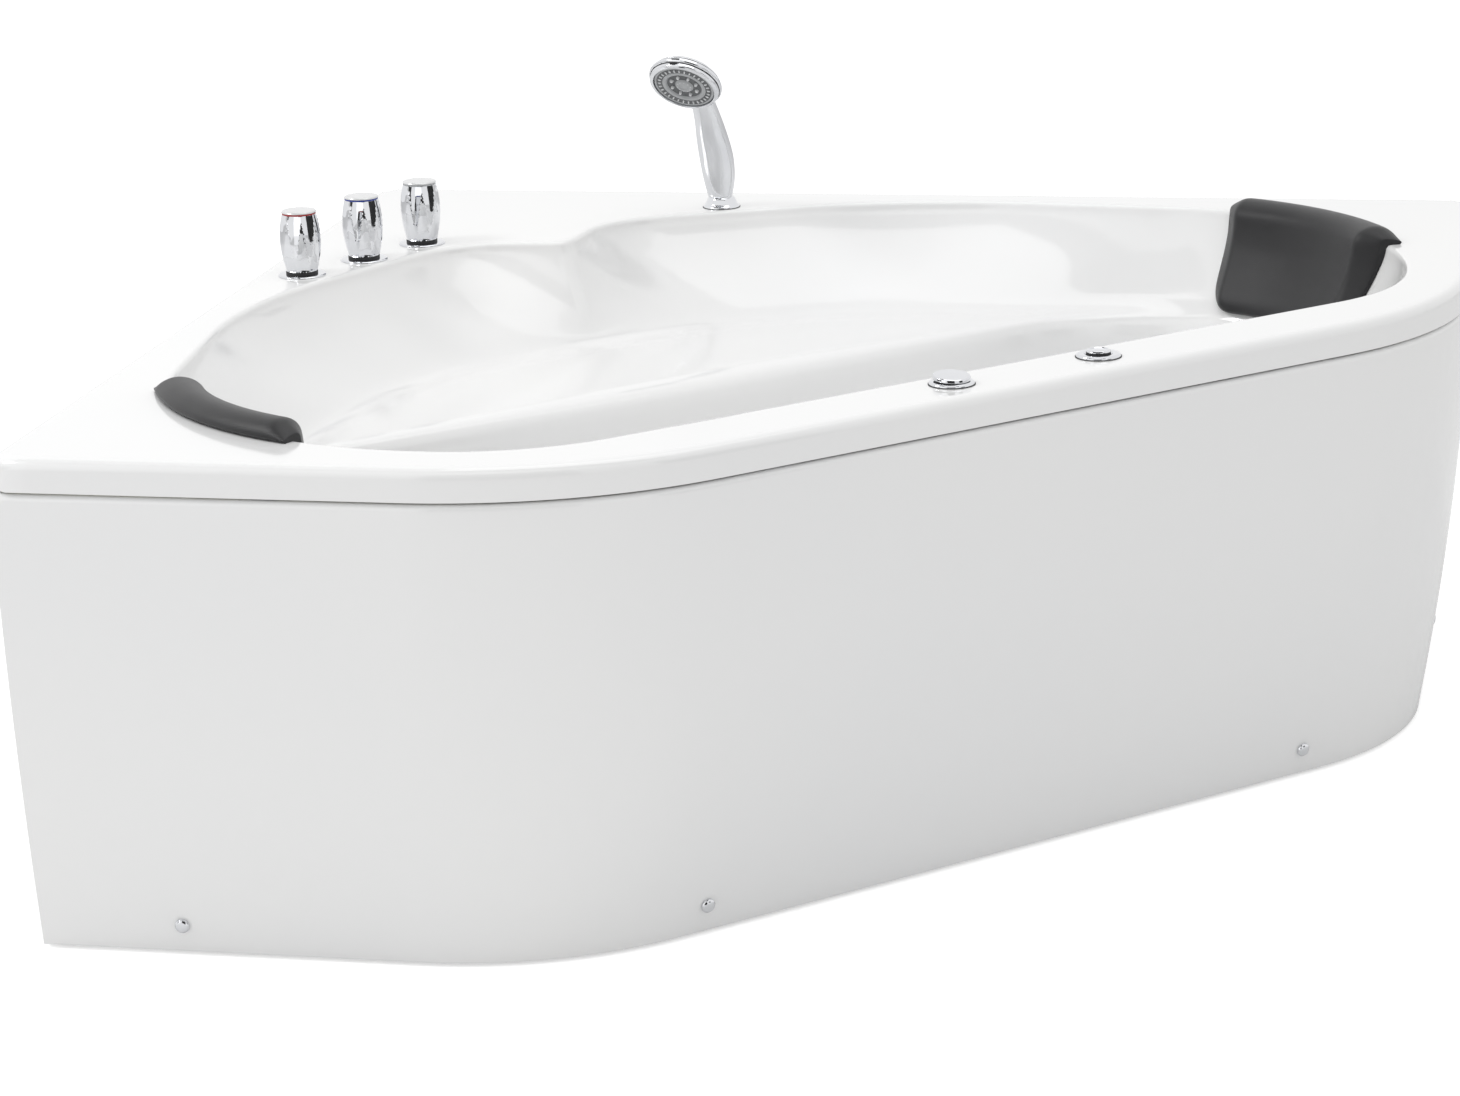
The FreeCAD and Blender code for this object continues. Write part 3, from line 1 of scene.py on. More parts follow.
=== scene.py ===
# %% [markdown]
# # A corner bathtub, dressed for its picture
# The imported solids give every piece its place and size. This lesson loads them as a fixed frame and
# then models what the eye sees: the moulded tub, its apron, two headrests, the taps and the hand shower.
# All sizes below are in millimetres, and one small function turns them into Blender's metres.

# %% Load the frame
import json
from math import acos, asin, atan2, copysign, cos, hypot, pi, radians, sin, sqrt, tan

import bpy
import numpy as np
from mathutils import Matrix, Vector


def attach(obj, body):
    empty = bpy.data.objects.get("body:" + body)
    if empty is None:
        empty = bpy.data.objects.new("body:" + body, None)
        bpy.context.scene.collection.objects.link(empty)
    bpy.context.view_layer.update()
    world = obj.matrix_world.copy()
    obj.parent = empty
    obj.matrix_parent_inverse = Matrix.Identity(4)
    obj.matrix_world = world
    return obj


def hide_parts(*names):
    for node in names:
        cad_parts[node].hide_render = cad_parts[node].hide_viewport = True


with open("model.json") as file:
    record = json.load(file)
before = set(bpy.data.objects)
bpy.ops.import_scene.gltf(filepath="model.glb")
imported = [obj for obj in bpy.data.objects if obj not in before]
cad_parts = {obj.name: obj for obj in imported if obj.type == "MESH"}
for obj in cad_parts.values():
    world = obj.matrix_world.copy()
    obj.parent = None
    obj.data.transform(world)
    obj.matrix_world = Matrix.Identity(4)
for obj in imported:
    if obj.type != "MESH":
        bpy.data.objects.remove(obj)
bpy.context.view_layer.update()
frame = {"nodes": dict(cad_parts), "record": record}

nodes = frame["nodes"]

# %% [markdown]
# ## Places
# The tub fits the corner of a room. A point is given by its distances u from the left wall and v from the
# back wall, or, along the tub's own axis of symmetry, by p from the room corner and q to the right. A new
# mesh is made at the origin and then moved in its data, so that every object stays at the origin.

# %% Places in plan
SIDE, END_FACE, RIM = 1500.0, 629.0, 565.0
ROOT2 = sqrt(2.0)
FRONT_P = (SIDE + END_FACE) / ROOT2
FORWARD = Vector((1, -1, 0)).normalized()
UP = Vector((0, 0, 1))
TAPS = {"hot": (62, 577), "cold": (114, 479), "diverter": (161, 374)}
SHOWER = (503.0, 108.0)
BUTTON_P, AIR_Q, PUSH_Q = FRONT_P - 59.4, -89.0, 115.0
DRAIN_P, OVERFLOW_P, OVERFLOW_Z = 1240.4, FRONT_P - 101.8, RIM - 68.0


def spot(u, v, z):
    """A point in metres, with the middle of the plan at the origin."""
    return Vector(((u - SIDE / 2) / 1000, (SIDE / 2 - v) / 1000, z / 1000))


def across(p, q, z):
    """The same, from distances along and across the tub's own axis."""
    return spot((p + q) / ROOT2, (p - q) / ROOT2, z)


def pick(*pieces):
    """Selects these pieces and nothing else; the first is the active one."""
    bpy.ops.object.select_all(action="DESELECT")
    for piece in pieces:
        piece.select_set(True)
    if pieces:
        bpy.context.view_layer.objects.active = pieces[0]


def placed(piece, place, way=UP):
    """Moves a mesh made at the origin to its place, with its Z axis turned to a direction."""
    turn = Vector(way).to_track_quat("Z", "Y").to_matrix().to_4x4()
    piece.data.transform(Matrix.Translation(place) @ turn)
    return piece


print("front line", round(FRONT_P, 1), "mm from the room corner")

# %% [markdown]
# ## The camera
# The picture was taken from standing height, in front of the tub and a little to its right, with a long
# lens. A camera is set by its place and three directions, so these become the columns of its matrix.

# %% Camera
camera = bpy.data.objects.new("camera", bpy.data.cameras.new("camera"))
bpy.context.scene.collection.objects.link(camera)
bpy.context.scene.camera = camera
camera.data.lens, camera.data.sensor_width = 100.1, 36.0
camera.data.clip_end = 60.0
YAW, PITCH, ROLL = radians(-11.9), radians(-15.8), radians(-1.66)
ahead = Vector((sin(YAW) * cos(PITCH), cos(YAW) * cos(PITCH), sin(PITCH)))
level = ahead.cross(UP).normalized()
upright = level.cross(ahead)
right = level * cos(ROLL) + upright * sin(ROLL)
turn = Matrix((right, right.cross(ahead), -ahead)).transposed().to_4x4()
camera.matrix_world = Matrix.Translation(spot(1607.0, 5356.8, RIM + 1041.6)) @ turn
print("camera looks along", [round(c, 3) for c in ahead])

# %% [markdown]
# ## Light
# A white tub is lit evenly from all sides. The world gives that light, a small lamp on the left adds the
# soft shadows that fall to the right, and two broad ones fill in. What the camera and the chrome see around
# the tub is plain white, apart from five dark boards that only reflections see: they draw lines in chrome.

# %% World and lamps
def linked(tree, kind, **settings):
    """A new node in a tree, with its settings."""
    node = tree.nodes.new(kind)
    for name, value in settings.items():
        setattr(node, name, value)
    return node


def dial(node, **values):
    """Sets inputs of a node by name; an underscore stands for a space."""
    for name, value in values.items():
        node.inputs[name.replace("_", " ")].default_value = value


def wire(tree, source, output, target, socket):
    tree.links.new(source.outputs[output], target.inputs[socket])


WHITE = (1.0, 1.0, 1.0, 1.0)
world = bpy.data.worlds.new("studio")
bpy.context.scene.world = world
world.use_nodes = True
tree = world.node_tree
tree.nodes.clear()
path = linked(tree, "ShaderNodeLightPath")
seen, seen_too = [linked(tree, "ShaderNodeMath", operation="MAXIMUM") for _ in range(2)]
wire(tree, path, "Is Camera Ray", seen, 0)
wire(tree, path, "Is Glossy Ray", seen, 1)
wire(tree, seen, 0, seen_too, 0)
wire(tree, path, "Is Transmission Ray", seen_too, 1)
soft, plain = [linked(tree, "ShaderNodeBackground") for _ in range(2)]
dial(soft, Color=WHITE, Strength=0.68)
dial(plain, Color=WHITE, Strength=1.0)
mix = linked(tree, "ShaderNodeMixShader")
for socket, source in enumerate((seen_too, soft, plain)):
    wire(tree, source, 0, mix, socket)
wire(tree, mix, 0, linked(tree, "ShaderNodeOutputWorld"), "Surface")


def lamp(name, place, target, size, power):
    light = bpy.data.lights.new(name, "AREA")
    light.size, light.energy = size, power
    holder = bpy.data.objects.new(name, light)
    bpy.context.scene.collection.objects.link(holder)
    holder.location = place
    holder.rotation_euler = (Vector(target) - Vector(place)).to_track_quat("-Z", "Y").to_euler()


lamp("key", (-3.4, -0.9, 3.6), (0, 0, 0.4), 1.1, 42.0)
lamp("top", (0.0, -0.4, 4.3), (0, -0.1, 0.4), 4.0, 46.0)
lamp("fill", (-3.4, -4.2, 1.6), (0, 0, 0.3), 3.0, 12.0)
bpy.context.scene.view_settings.view_transform = "Standard"
print("three lamps and a white world")

# %% Flags
def flag(name, place, target, wide, high):
    """A dark board that only mirror-like surfaces see."""
    pick()
    bpy.ops.mesh.primitive_plane_add(size=1)
    board = bpy.context.object
    board.name = name
    board.data.transform(Matrix.Diagonal((wide, high, 1, 1)))
    placed(board, place, Vector(target) - Vector(place))
    board.visible_camera = board.visible_diffuse = board.visible_shadow = False
    board.visible_transmission = False
    paint = bpy.data.materials.new(name + " paint")
    paint.use_nodes = True
    dial(paint.node_tree.nodes["Principled BSDF"], Base_Color=(0.03, 0.03, 0.03, 1), Roughness=0.9)
    board.data.materials.append(paint)


flag("flag_behind", (0.45, -3.7, 1.75), (-0.6, 0.3, 1.75), 2.7, 3.4)
flag("flag_left", (-5.0, -3.6, 1.6), (-0.3, 0, 0.6), 1.2, 2.6)
flag("flag_right", (5.2, -2.6, 1.7), (-0.2, 0, 0.6), 2.2, 3.0)
flag("flag_over", (0.2, -1.75, 4.15), (0.2, -1.75, 0.0), 5.0, 1.5)
flag("flag_over_left", (-1.9, 0.2, 4.15), (-1.9, 0.2, 0.0), 1.9, 1.4)
print("five flags")

# %% [markdown]
# ## Helpers for finishes
# Every finish is a small tree of nodes on the object's own coordinates: one noise varies the colour, one
# varies the gloss, and a texture with a bump gives the grain. Only the numbers differ between finishes.

# %% Finish
def finish(name, colour, rough, metal=0.0, coat=0.0, other=None, patch=6.0, gloss_change=0.08,
           grain=300.0, depth=0.0, pattern="noise", stretch=(1, 1, 1), specular=0.5, sheen=0.0):
    """A procedural material. `patch` and `grain` count per metre; `depth` is in millimetres."""
    material = bpy.data.materials.new(name)
    material.use_nodes = True
    tree = material.node_tree
    shader = tree.nodes["Principled BSDF"]
    dial(shader, Metallic=metal, Coat_Weight=coat, Coat_Roughness=0.05, Specular_IOR_Level=specular,
         Sheen_Weight=sheen)
    mapping = linked(tree, "ShaderNodeMapping")
    dial(mapping, Scale=stretch)
    wire(tree, linked(tree, "ShaderNodeTexCoord"), "Object", mapping, "Vector")
    clouds = linked(tree, "ShaderNodeTexNoise")
    dial(clouds, Scale=patch, Detail=4.0)
    wire(tree, mapping, 0, clouds, "Vector")
    ramp = linked(tree, "ShaderNodeValToRGB")
    low, high = ramp.color_ramp.elements
    low.position, high.position = 0.35, 0.65
    low.color, high.color = (*colour, 1.0), (*(other or [c * 0.97 for c in colour]), 1.0)
    wire(tree, clouds, "Fac", ramp, "Fac")
    wire(tree, ramp, "Color", shader, "Base Color")
    gloss, smears = linked(tree, "ShaderNodeMapRange"), linked(tree, "ShaderNodeTexNoise")
    dial(gloss, To_Min=max(0.02, rough - gloss_change / 2), To_Max=rough + gloss_change / 2)
    dial(smears, Scale=patch * 3.7)
    wire(tree, mapping, 0, smears, "Vector")
    wire(tree, smears, "Fac", gloss, "Value")
    wire(tree, gloss, "Result", shader, "Roughness")
    if depth:
        kind = {"noise": "Noise", "cells": "Voronoi", "lines": "Wave"}[pattern]
        texture, bump = linked(tree, "ShaderNodeTex" + kind), linked(tree, "ShaderNodeBump")
        dial(texture, Scale=grain)
        dial(bump, Distance=depth / 1000, Strength=1.0)
        wire(tree, mapping, 0, texture, "Vector")
        wire(tree, texture, "Distance" if pattern == "cells" else "Fac", bump, "Height")
        wire(tree, bump, 0, shader, "Normal")
    return material


print("finish helper ready")

# %% [markdown]
# ## The finishes of this bath
# Acrylic is glossy and pure white, with a hint of waviness from the mould. Its back is laid up in resin and
# chopped glass. Chrome is a near-perfect mirror with faint smears. The headrests are a dark foam skin with
# a fine leather-like grain, and the hidden carrying frame is powder coated, galvanised or raw board.

# %% Materials
acrylic = finish("white acrylic", (0.90, 0.90, 0.895), 0.12, coat=0.35, patch=1.5, gloss_change=0.04,
                 other=(0.885, 0.888, 0.89), grain=3.0, depth=0.25)
laminate = finish("resin and chopped glass", (0.72, 0.70, 0.60), 0.45, patch=14, other=(0.62, 0.61, 0.53),
                  grain=90, depth=1.2, pattern="cells", stretch=(1, 2.2, 1))
chrome = finish("polished chrome", (0.76, 0.77, 0.79), 0.035, metal=1.0, patch=18, gloss_change=0.03,
                other=(0.72, 0.73, 0.755))
skin = finish("dark foam skin", (0.012, 0.012, 0.0135), 0.38, patch=9, other=(0.017, 0.017, 0.0185),
              grain=1400, depth=0.12, pattern="cells", specular=0.40, sheen=0.02)
spray_grey = finish("grey satin plastic", (0.42, 0.43, 0.44), 0.33, patch=60, other=(0.38, 0.39, 0.40),
                    grain=900, depth=0.04)
silicone = finish("nozzle silicone", (0.74, 0.75, 0.76), 0.4, patch=90, other=(0.66, 0.67, 0.68),
                  grain=900, depth=0.05)
# a darker grey for the plate's sunk rings: painted shade in the recesses
painted_shade_grey = finish("grey with painted recess shade", (0.11, 0.115, 0.12), 0.4, patch=60, other=(0.09, 0.095, 0.10),
                    grain=900, depth=0.04)
# near-black for the rings and bands that stand in for the shadow in the gaps under knobs, caps and rings
# and in the head's grooves: painted shadow
painted_shadow_gap = finish("painted shadow gap", (0.02, 0.02, 0.022), 0.55, patch=60, grain=800, depth=0.05)
red = finish("red ring", (0.34, 0.012, 0.012), 0.25, coat=0.3, patch=80)
blue = finish("blue ring", (0.012, 0.035, 0.26), 0.25, coat=0.3, patch=80)
grey = finish("plain ring", (0.40, 0.41, 0.42), 0.25, coat=0.3, patch=80)
cap_white = finish("pale satin cap", (0.74, 0.745, 0.75), 0.2, metal=0.35, patch=60, grain=500, depth=0.02)
powder = finish("grey powder coat", (0.56, 0.57, 0.57), 0.42, patch=25, other=(0.52, 0.53, 0.53),
                grain=700, depth=0.10)
zinc = finish("galvanised steel", (0.60, 0.61, 0.62), 0.32, metal=0.9, patch=70, other=(0.50, 0.51, 0.54),
              gloss_change=0.2, grain=160, depth=0.03, pattern="cells")
brass = finish("machined brass", (0.66, 0.47, 0.19), 0.26, metal=1.0, patch=40, other=(0.58, 0.40, 0.15),
               grain=380, depth=0.03, pattern="lines")
rubber = finish("black rubber", (0.022, 0.022, 0.023), 0.7, patch=40, other=(0.035, 0.035, 0.035),
                grain=500, depth=0.12)
board = finish("raw particle board", (0.50, 0.36, 0.22), 0.8, patch=120, other=(0.34, 0.23, 0.13),
               grain=240, depth=0.35, pattern="cells", stretch=(1, 1, 3))
plastic = finish("pale pipe plastic", (0.68, 0.68, 0.66), 0.4, patch=15, other=(0.64, 0.64, 0.62),
                 grain=220, depth=0.05)
print("materials:", len(bpy.data.materials))

# %% [markdown]
# ## Carried-over pieces
# The hidden frame of square tube, its board, nuts, brackets and clips already have their true shapes in the
# solids. They keep those and only take a finish. Each new piece will ride on a body.

# %% Finishes for the solids that stay
def belongs(piece, body, slot, *replaced):
    """A piece rides on a body and stands for solids; its slot is not used."""
    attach(piece, body)
    if replaced:
        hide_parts(*replaced)
    return piece


by_slot = {"acrylic": acrylic, "board": board, "brass": brass, "cap_white": cap_white, "chrome": chrome,
           "cold_blue": blue, "cushion": skin, "foot_rubber": rubber, "frame_paint": powder, "hot_red": red,
           "nozzle_grey": silicone, "pipe_plastic": plastic, "plain_ring": grey, "spray_grey": spray_grey,
           "zinc": zinc}
for part in frame["record"]["subparts"]:
    solid = nodes[part["node"]]
    solid.data.materials.clear()
    solid.data.materials.append(by_slot[part["material_slot"]])
print("finished", len(nodes), "solids")

# %% [markdown]
# ## A sheet laid over sections
# The tub is one sheet of acrylic, sucked down over a mould. A grid can be laid over a shape in the same
# way: each row of the grid goes onto one section of the mould. Where the sections are closed, the first
# and last columns meet and are merged.

# %% Lay a grid over sections
def smooth(piece, angle=35.0):
    pick(piece)
    bpy.ops.object.shade_smooth_by_angle(angle=radians(angle))
    return piece


def edit_all(piece, *steps):
    """Runs edit-mode steps on everything in a piece."""
    pick(piece)
    bpy.ops.object.mode_set(mode="EDIT")
    select()
    for step in steps:
        step()
    bpy.ops.object.mode_set(mode="OBJECT")


def select(action="SELECT"):
    bpy.ops.mesh.select_all(action=action)


def merge():
    bpy.ops.mesh.remove_doubles(threshold=1e-6)


def face_out():
    bpy.ops.mesh.normals_make_consistent(inside=False)


def laid(name, rows, material, closed=True):
    """A grid whose rows lie along sections, each a list of points in metres."""
    points = np.array([[list(p) for p in row] for row in rows], float)
    if closed:
        points = np.concatenate([points, points[:, :1]], axis=1)
    pick()
    bpy.ops.mesh.primitive_grid_add(x_subdivisions=points.shape[1] - 1, y_subdivisions=points.shape[0] - 1)
    piece = bpy.context.object
    piece.name = name
    piece.data.vertices.foreach_set("co", points.reshape(-1).astype(np.float32))
    edit_all(piece, merge)
    piece.data.materials.append(material)
    return piece


def apply(piece, kind, **settings):
    """Adds a modifier and applies it."""
    modifier = piece.modifiers.new(kind.lower(), kind)
    for name, value in settings.items():
        setattr(modifier, name, value)
    pick(piece)
    bpy.ops.object.modifier_apply(modifier=modifier.name)
    return piece


print("sheet helper ready")

# %% [markdown]
# ## Outlines
# The plan of the tub, at every depth, is a polygon with rounded corners. A ray from a point in the middle
# meets each outline once, so one fan of rays gives all the sections the same number of points.

# %% Outlines and rays
HUB = (800.0, 800.0)


def corner_turn(corners, i):
    """A corner, the directions of its two sides, its bisector and half its angle."""
    here = np.array(corners[i][:2])
    back = np.array(corners[i - 1][:2]) - here
    on = np.array(corners[(i + 1) % len(corners)][:2]) - here
    back, on = back / np.linalg.norm(back), on / np.linalg.norm(on)
    half = acos(max(-1.0, min(1.0, float(back @ on)))) / 2
    return here, back, on, (back + on) / np.linalg.norm(back + on), half


def rounded(corners, i, count):
    """Points along the arc that rounds a corner."""
    here, back, on, middle, half = corner_turn(corners, i)
    radius, sweep = corners[i][2], pi - 2 * half
    centre = here + middle * radius / sin(half)
    first, last = (here + way * radius / tan(half) - centre for way in (back, on))
    return [centre + (first * sin((1 - s) * sweep) + last * sin(s * sweep)) / sin(sweep)
            for s in np.linspace(0, 1, count)]


def moved_out(corners, distance):
    """The outline with every side moved outwards."""
    area = sum(corners[i - 1][0] * c[1] - c[0] * corners[i - 1][1] for i, c in enumerate(corners))
    result = []
    for i, (_, _, radius) in enumerate(corners):
        here, back, on, middle, half = corner_turn(corners, i)
        side = back[0] * on[1] - back[1] * on[0]
        outward = -distance if side * area < 0 else distance
        moved = here + middle * (outward / sin(half))
        result.append((moved[0], moved[1], radius - outward))
    return result


def drawn(corners, arc_points=60):
    """Many points along an outline, with the radius of the arc that each is on, or 0."""
    points = []
    for i, (_, _, radius) in enumerate(corners):
        points += [(*place, radius) for place in rounded(corners, i, arc_points)]
    points = np.array(points)
    onward = np.roll(points, -1, axis=0) - points
    runs = np.array([points[i] + onward[i] * s for i in range(arc_points - 1, len(points), arc_points)
                     for s in np.linspace(0, 1, 42)[1:-1]])
    runs[:, 2] = 0
    return np.concatenate([points, runs])


def bearings(points):
    """Angles of points as seen from the hub."""
    return np.arctan2(HUB[1] - points[:, 1], points[:, 0] - HUB[0])


def reach(corners, angles):
    """Distance from the hub to an outline at each angle."""
    points = drawn(corners)
    bearing = bearings(points)
    order = np.argsort(bearing)
    distance = np.hypot(points[:, 0] - HUB[0], points[:, 1] - HUB[1])
    return np.interp(angles, bearing[order], distance[order], period=2 * pi)


def mirrored(half):
    """An outline from its corners on one side of the tub's axis."""
    on_axis = [c for c in half if c[0] == c[1]]
    left = [c for c in half if c[0] != c[1]]
    return on_axis + left + [(v, u, r) for u, v, r in reversed(left)]


def from_axis(half):
    """The same, from corners given by p and q."""
    whole = list(half) + [(p, -q, r) for p, q, r in reversed(half)]
    return [((p + q) / ROOT2, (p - q) / ROOT2, r) for p, q, r in whole]


def between(first, last, share):
    """An outline at a share of the way from one to another."""
    return [tuple(a + (b - a) * share for a, b in zip(c, d)) for c, d in zip(first, last)]


CORNER_R = 440
plan = [(0, 0, 16), (0, SIDE, 16), (END_FACE, SIDE, CORNER_R), (SIDE, END_FACE, CORNER_R), (SIDE, 0, 16)]
basin = mirrored([(352, 352, 28), (207, 369, 130), (38, 738, 600), (110, 1421, 380), (564, 1421, 250)])
seat = mirrored([(392, 392, 60), (252, 562, 130), (206, 661, 300), (75, 1351, 310), (613, 1351, 230)])
well = from_axis([(816, -724, 235), (1178, -724, 290), (1384, -518, 180)])
fan = list(np.linspace(-pi, pi, 361)[:-1])
for corners in (plan, basin, seat):
    points = drawn(corners, 16)
    tight = points[(points[:, 2] > 0) & (points[:, 2] < 140)]
    fan += list(bearings(tight))
fan = np.array(sorted(fan))
fan = fan[np.append(True, np.diff(fan) > radians(0.12))]
print("rays:", len(fan))

# %% [markdown]
# ## The tub
# From the turned-down rim the sheet goes over the deck, rolls into the basin, sweeps inwards down the wall,
# runs out over the corner seat and drops into the foot well. A mould has no sharp corners below the deck,
# so each ray's profile is softened along its length. A Solidify modifier then gives the sheet its
# thickness, with the laid-up glass on its back, and a Boolean drills the holes for the fittings.

# %% Sections of the tub
LIP, SEAT_DEPTH, WELL_DEPTH, SHEET = 36.0, 125.0, 410.0, 5.0
RIM_ROUND, EDGE_ROUND, WALL_BELLY = 12.0, 7.0, 1.4  # roundings of rim and basin edge, sweep of the wall
WELL_LEAN, FLOOR_ROUND, FLOOR_RISE = 45, 40, 22     # the well's slope and the rounding of its floor


def quarter(size, steps=6):
    """(outward offset, drop) pairs round a convex edge, from its top face down."""
    angles = np.linspace(0, pi / 2, steps + 1)
    return [(size * (1 - sin(a)), size * (1 - cos(a))) for a in angles]


sections = [(plan, RIM - LIP), (plan, RIM - LIP + 3), (plan, RIM - LIP / 2)]
sections += [(moved_out(plan, -out), RIM - drop) for out, drop in reversed(quarter(RIM_ROUND, 8))]
sections += [(moved_out(plan, -16), RIM)]
sections += [(moved_out(basin, out), RIM) for out in (14, 9.5)]
sections += [(moved_out(basin, out), RIM - drop) for out, drop in quarter(EDGE_ROUND)]
top_rows = len(sections)
for share in np.linspace(0, 1, 25)[1:]:
    fall = EDGE_ROUND + share * (SEAT_DEPTH - EDGE_ROUND)
    sections.append((between(basin, seat, share ** WALL_BELLY), RIM - fall))

# %% Wall, seat and well as distances from the hub
radii = [reach(corners, fan) for corners, z in sections]
heights = [np.full(len(fan), z) for corners, z in sections]
wall_foot, well_edge = radii[-1], reach(well, fan)
well_edge = np.minimum(well_edge, wall_foot - 1.0)
well_foot = moved_out(well, -WELL_LEAN)


def lay_level(distances, drop):
    """Adds one section, at a drop below the deck."""
    radii.append(distances)
    heights.append(np.full(len(fan), RIM - drop))


for share in np.linspace(0, 1, 13)[1:]:
    lay_level(wall_foot + (well_edge - wall_foot) * share, SEAT_DEPTH)
for share in np.linspace(0, 1, 19)[1:]:
    drop = SEAT_DEPTH + share * (WELL_DEPTH - SEAT_DEPTH - FLOOR_RISE)
    lay_level(np.minimum(reach(between(well, well_foot, share), fan), well_edge), drop)
for angle in np.linspace(0, pi / 2, 8)[1:]:
    drop = WELL_DEPTH - FLOOR_RISE + FLOOR_RISE * sin(angle)
    lay_level(reach(moved_out(well_foot, -FLOOR_ROUND * (1 - cos(angle))), fan), drop)
for share in (0.92, 0.8, 0.6, 0.35, 0.12, 0.0):
    lay_level(radii[-1] * share, WELL_DEPTH)
radii, heights = np.array(radii), np.array(heights)
print("sections of the tub:", len(radii), "of which above the wall", top_rows)

# %% Soften the profiles below the deck
def softened(radii, heights, first, spread=16.0):
    """Each column of points, smoothed along its own length from a row on."""
    kernel = np.exp(-0.5 * (np.arange(-30, 31) * 2.0 / spread) ** 2)
    kernel /= kernel.sum()
    for i in range(radii.shape[1]):
        r, z = radii[first:, i], heights[first:, i]
        steps = np.hypot(np.diff(r), np.diff(z))
        length = np.concatenate([[0], np.cumsum(np.maximum(steps, 1e-4))])
        fine = np.arange(0, length[-1], 2.0)
        ease = np.clip(fine / 30.0, 0, 1) * np.clip((length[-1] - fine) / 60.0, 0, 1)
        for values in (r, z):
            line = np.interp(fine, length, values)
            padded = np.concatenate([2 * line[0] - line[30:0:-1], line, np.full(30, line[-1])])
            values[:] = np.interp(length, fine, line + (np.convolve(padded, kernel, "valid") - line) * ease)


softened(radii, heights, top_rows - 1)
print("profiles softened")

# %% Lay the sheet
rows = []
for distances, levels in zip(radii, heights):
    u, v = HUB[0] + distances * np.cos(fan), HUB[1] - distances * np.sin(fan)
    rows.append([spot(*place) for place in zip(u, v, levels)])
tub = laid("tub_moulding", rows, acrylic)
tub.data.materials.append(laminate)
apply(tub, "SOLIDIFY", thickness=SHEET / 1000, offset=-1, material_offset=1)
print("tub sheet:", len(tub.data.polygons), "faces")

# %% Drill the holes
holes = [(spot(*place, RIM), UP, 15.2) for place in TAPS.values()]
holes += [(spot(*SHOWER, RIM), UP, 13.0), (across(DRAIN_P, 0, RIM - WELL_DEPTH), UP, 26.0),
          (across(OVERFLOW_P, 0, OVERFLOW_Z), FORWARD, 26.0)]
holes += [(across(BUTTON_P, q, RIM), UP, 18.4) for q in (AIR_Q, PUSH_Q)]
drills = []
for place, way, radius in holes:
    pick()
    bpy.ops.mesh.primitive_cylinder_add(vertices=64, radius=radius / 1000, depth=0.05)
    drills.append(placed(bpy.context.object, place, way))
pick(*drills)
bpy.ops.object.join()
apply(tub, "BOOLEAN", object=drills[0], operation="DIFFERENCE", solver="EXACT")
bpy.data.objects.remove(drills[0])
smooth(tub, 40)
belongs(tub, "tub", "acrylic", "tub_shell")
print("tub:", len(tub.data.polygons), "faces")

# %% [markdown]
# ## The apron
# The apron is a separate panel of the same sheet, clipped under the rim and screwed near the floor. It
# covers the two ends and the front, and curves inwards towards its foot. The same laying of a grid makes
# it, along a path that runs from the left wall round to the back wall.

# %% Apron
SEAM, FLOOR_GAP, ROUND, APRON_SHEET = 2.5, 4.0, 7.0, 4.0
BELLY, END_IN, FRONT_IN, NARROWER = 1.7, 52.0, 69.0, 70.0  # how the foot curves in, and its corners
APRON_TOP = RIM - LIP - SEAM


def apron_path(share, inset):
    """Points from the left wall round to the back wall, at a share of the way down."""
    ease = share ** BELLY
    end, front = SIDE - END_IN * ease - inset, FRONT_P - FRONT_IN * ease - inset
    radius = CORNER_R - NARROWER * ease - inset
    near = front * ROOT2 - end
    corners = [(0, end, 0), (near, end, radius), (end, near, radius), (end, 0, 0)]
    arc = [tuple(place) for place in rounded(corners, 1, 33)]
    first, last = arc[0], np.array(arc[-1])
    points = [(5.0 + (first[0] - 5.0) * s, end) for s in (0, 0.02, 0.08, 0.2, 0.4, 0.6, 0.8)] + arc
    axis_point = (last + last[::-1]) / 2
    points += [tuple(last + (axis_point - last) * s) for s in np.linspace(0, 1, 12)[1:]]
    return points + [(v, u) for u, v in points[-2::-1]]


print("apron path:", len(apron_path(0, 0)), "points")

# %% Lay the apron
apron_rows = [(0.0, 16, APRON_TOP), (0.0, 12, APRON_TOP)]
for out, drop in quarter(ROUND, 7):
    apron_rows.append((0.0, out, APRON_TOP - drop))
for share in np.linspace(0, 1, 22)[1:]:
    apron_rows.append((share, 0.0, APRON_TOP - ROUND - share * (APRON_TOP - ROUND - FLOOR_GAP)))
apron_rows += [(1.0, 0.8, FLOOR_GAP), (1.0, 16.0, FLOOR_GAP)]
rows = [[spot(u, v, z) for u, v in apron_path(share, inset)] for share, inset, z in apron_rows]
apron = laid("apron_moulding", rows[::-1], acrylic, closed=False)
apron.data.materials.append(laminate)
apply(apron, "SOLIDIFY", thickness=APRON_SHEET / 1000, offset=-1, material_offset=1)
smooth(apron, 40)
belongs(apron, "tub", "acrylic", "apron_panel")
print("apron:", len(apron.data.polygons), "faces")

# %% [markdown]
# ## Turned pieces
# Rings, caps, flanges, feet and valves are all turned on a lathe or moulded like it. Their profile is drawn
# as a line of points, its corners are eased, and Spin carries it once round the axis. The doubles on the
# seam and the axis are merged, and what hangs loose on the axis is cleared.

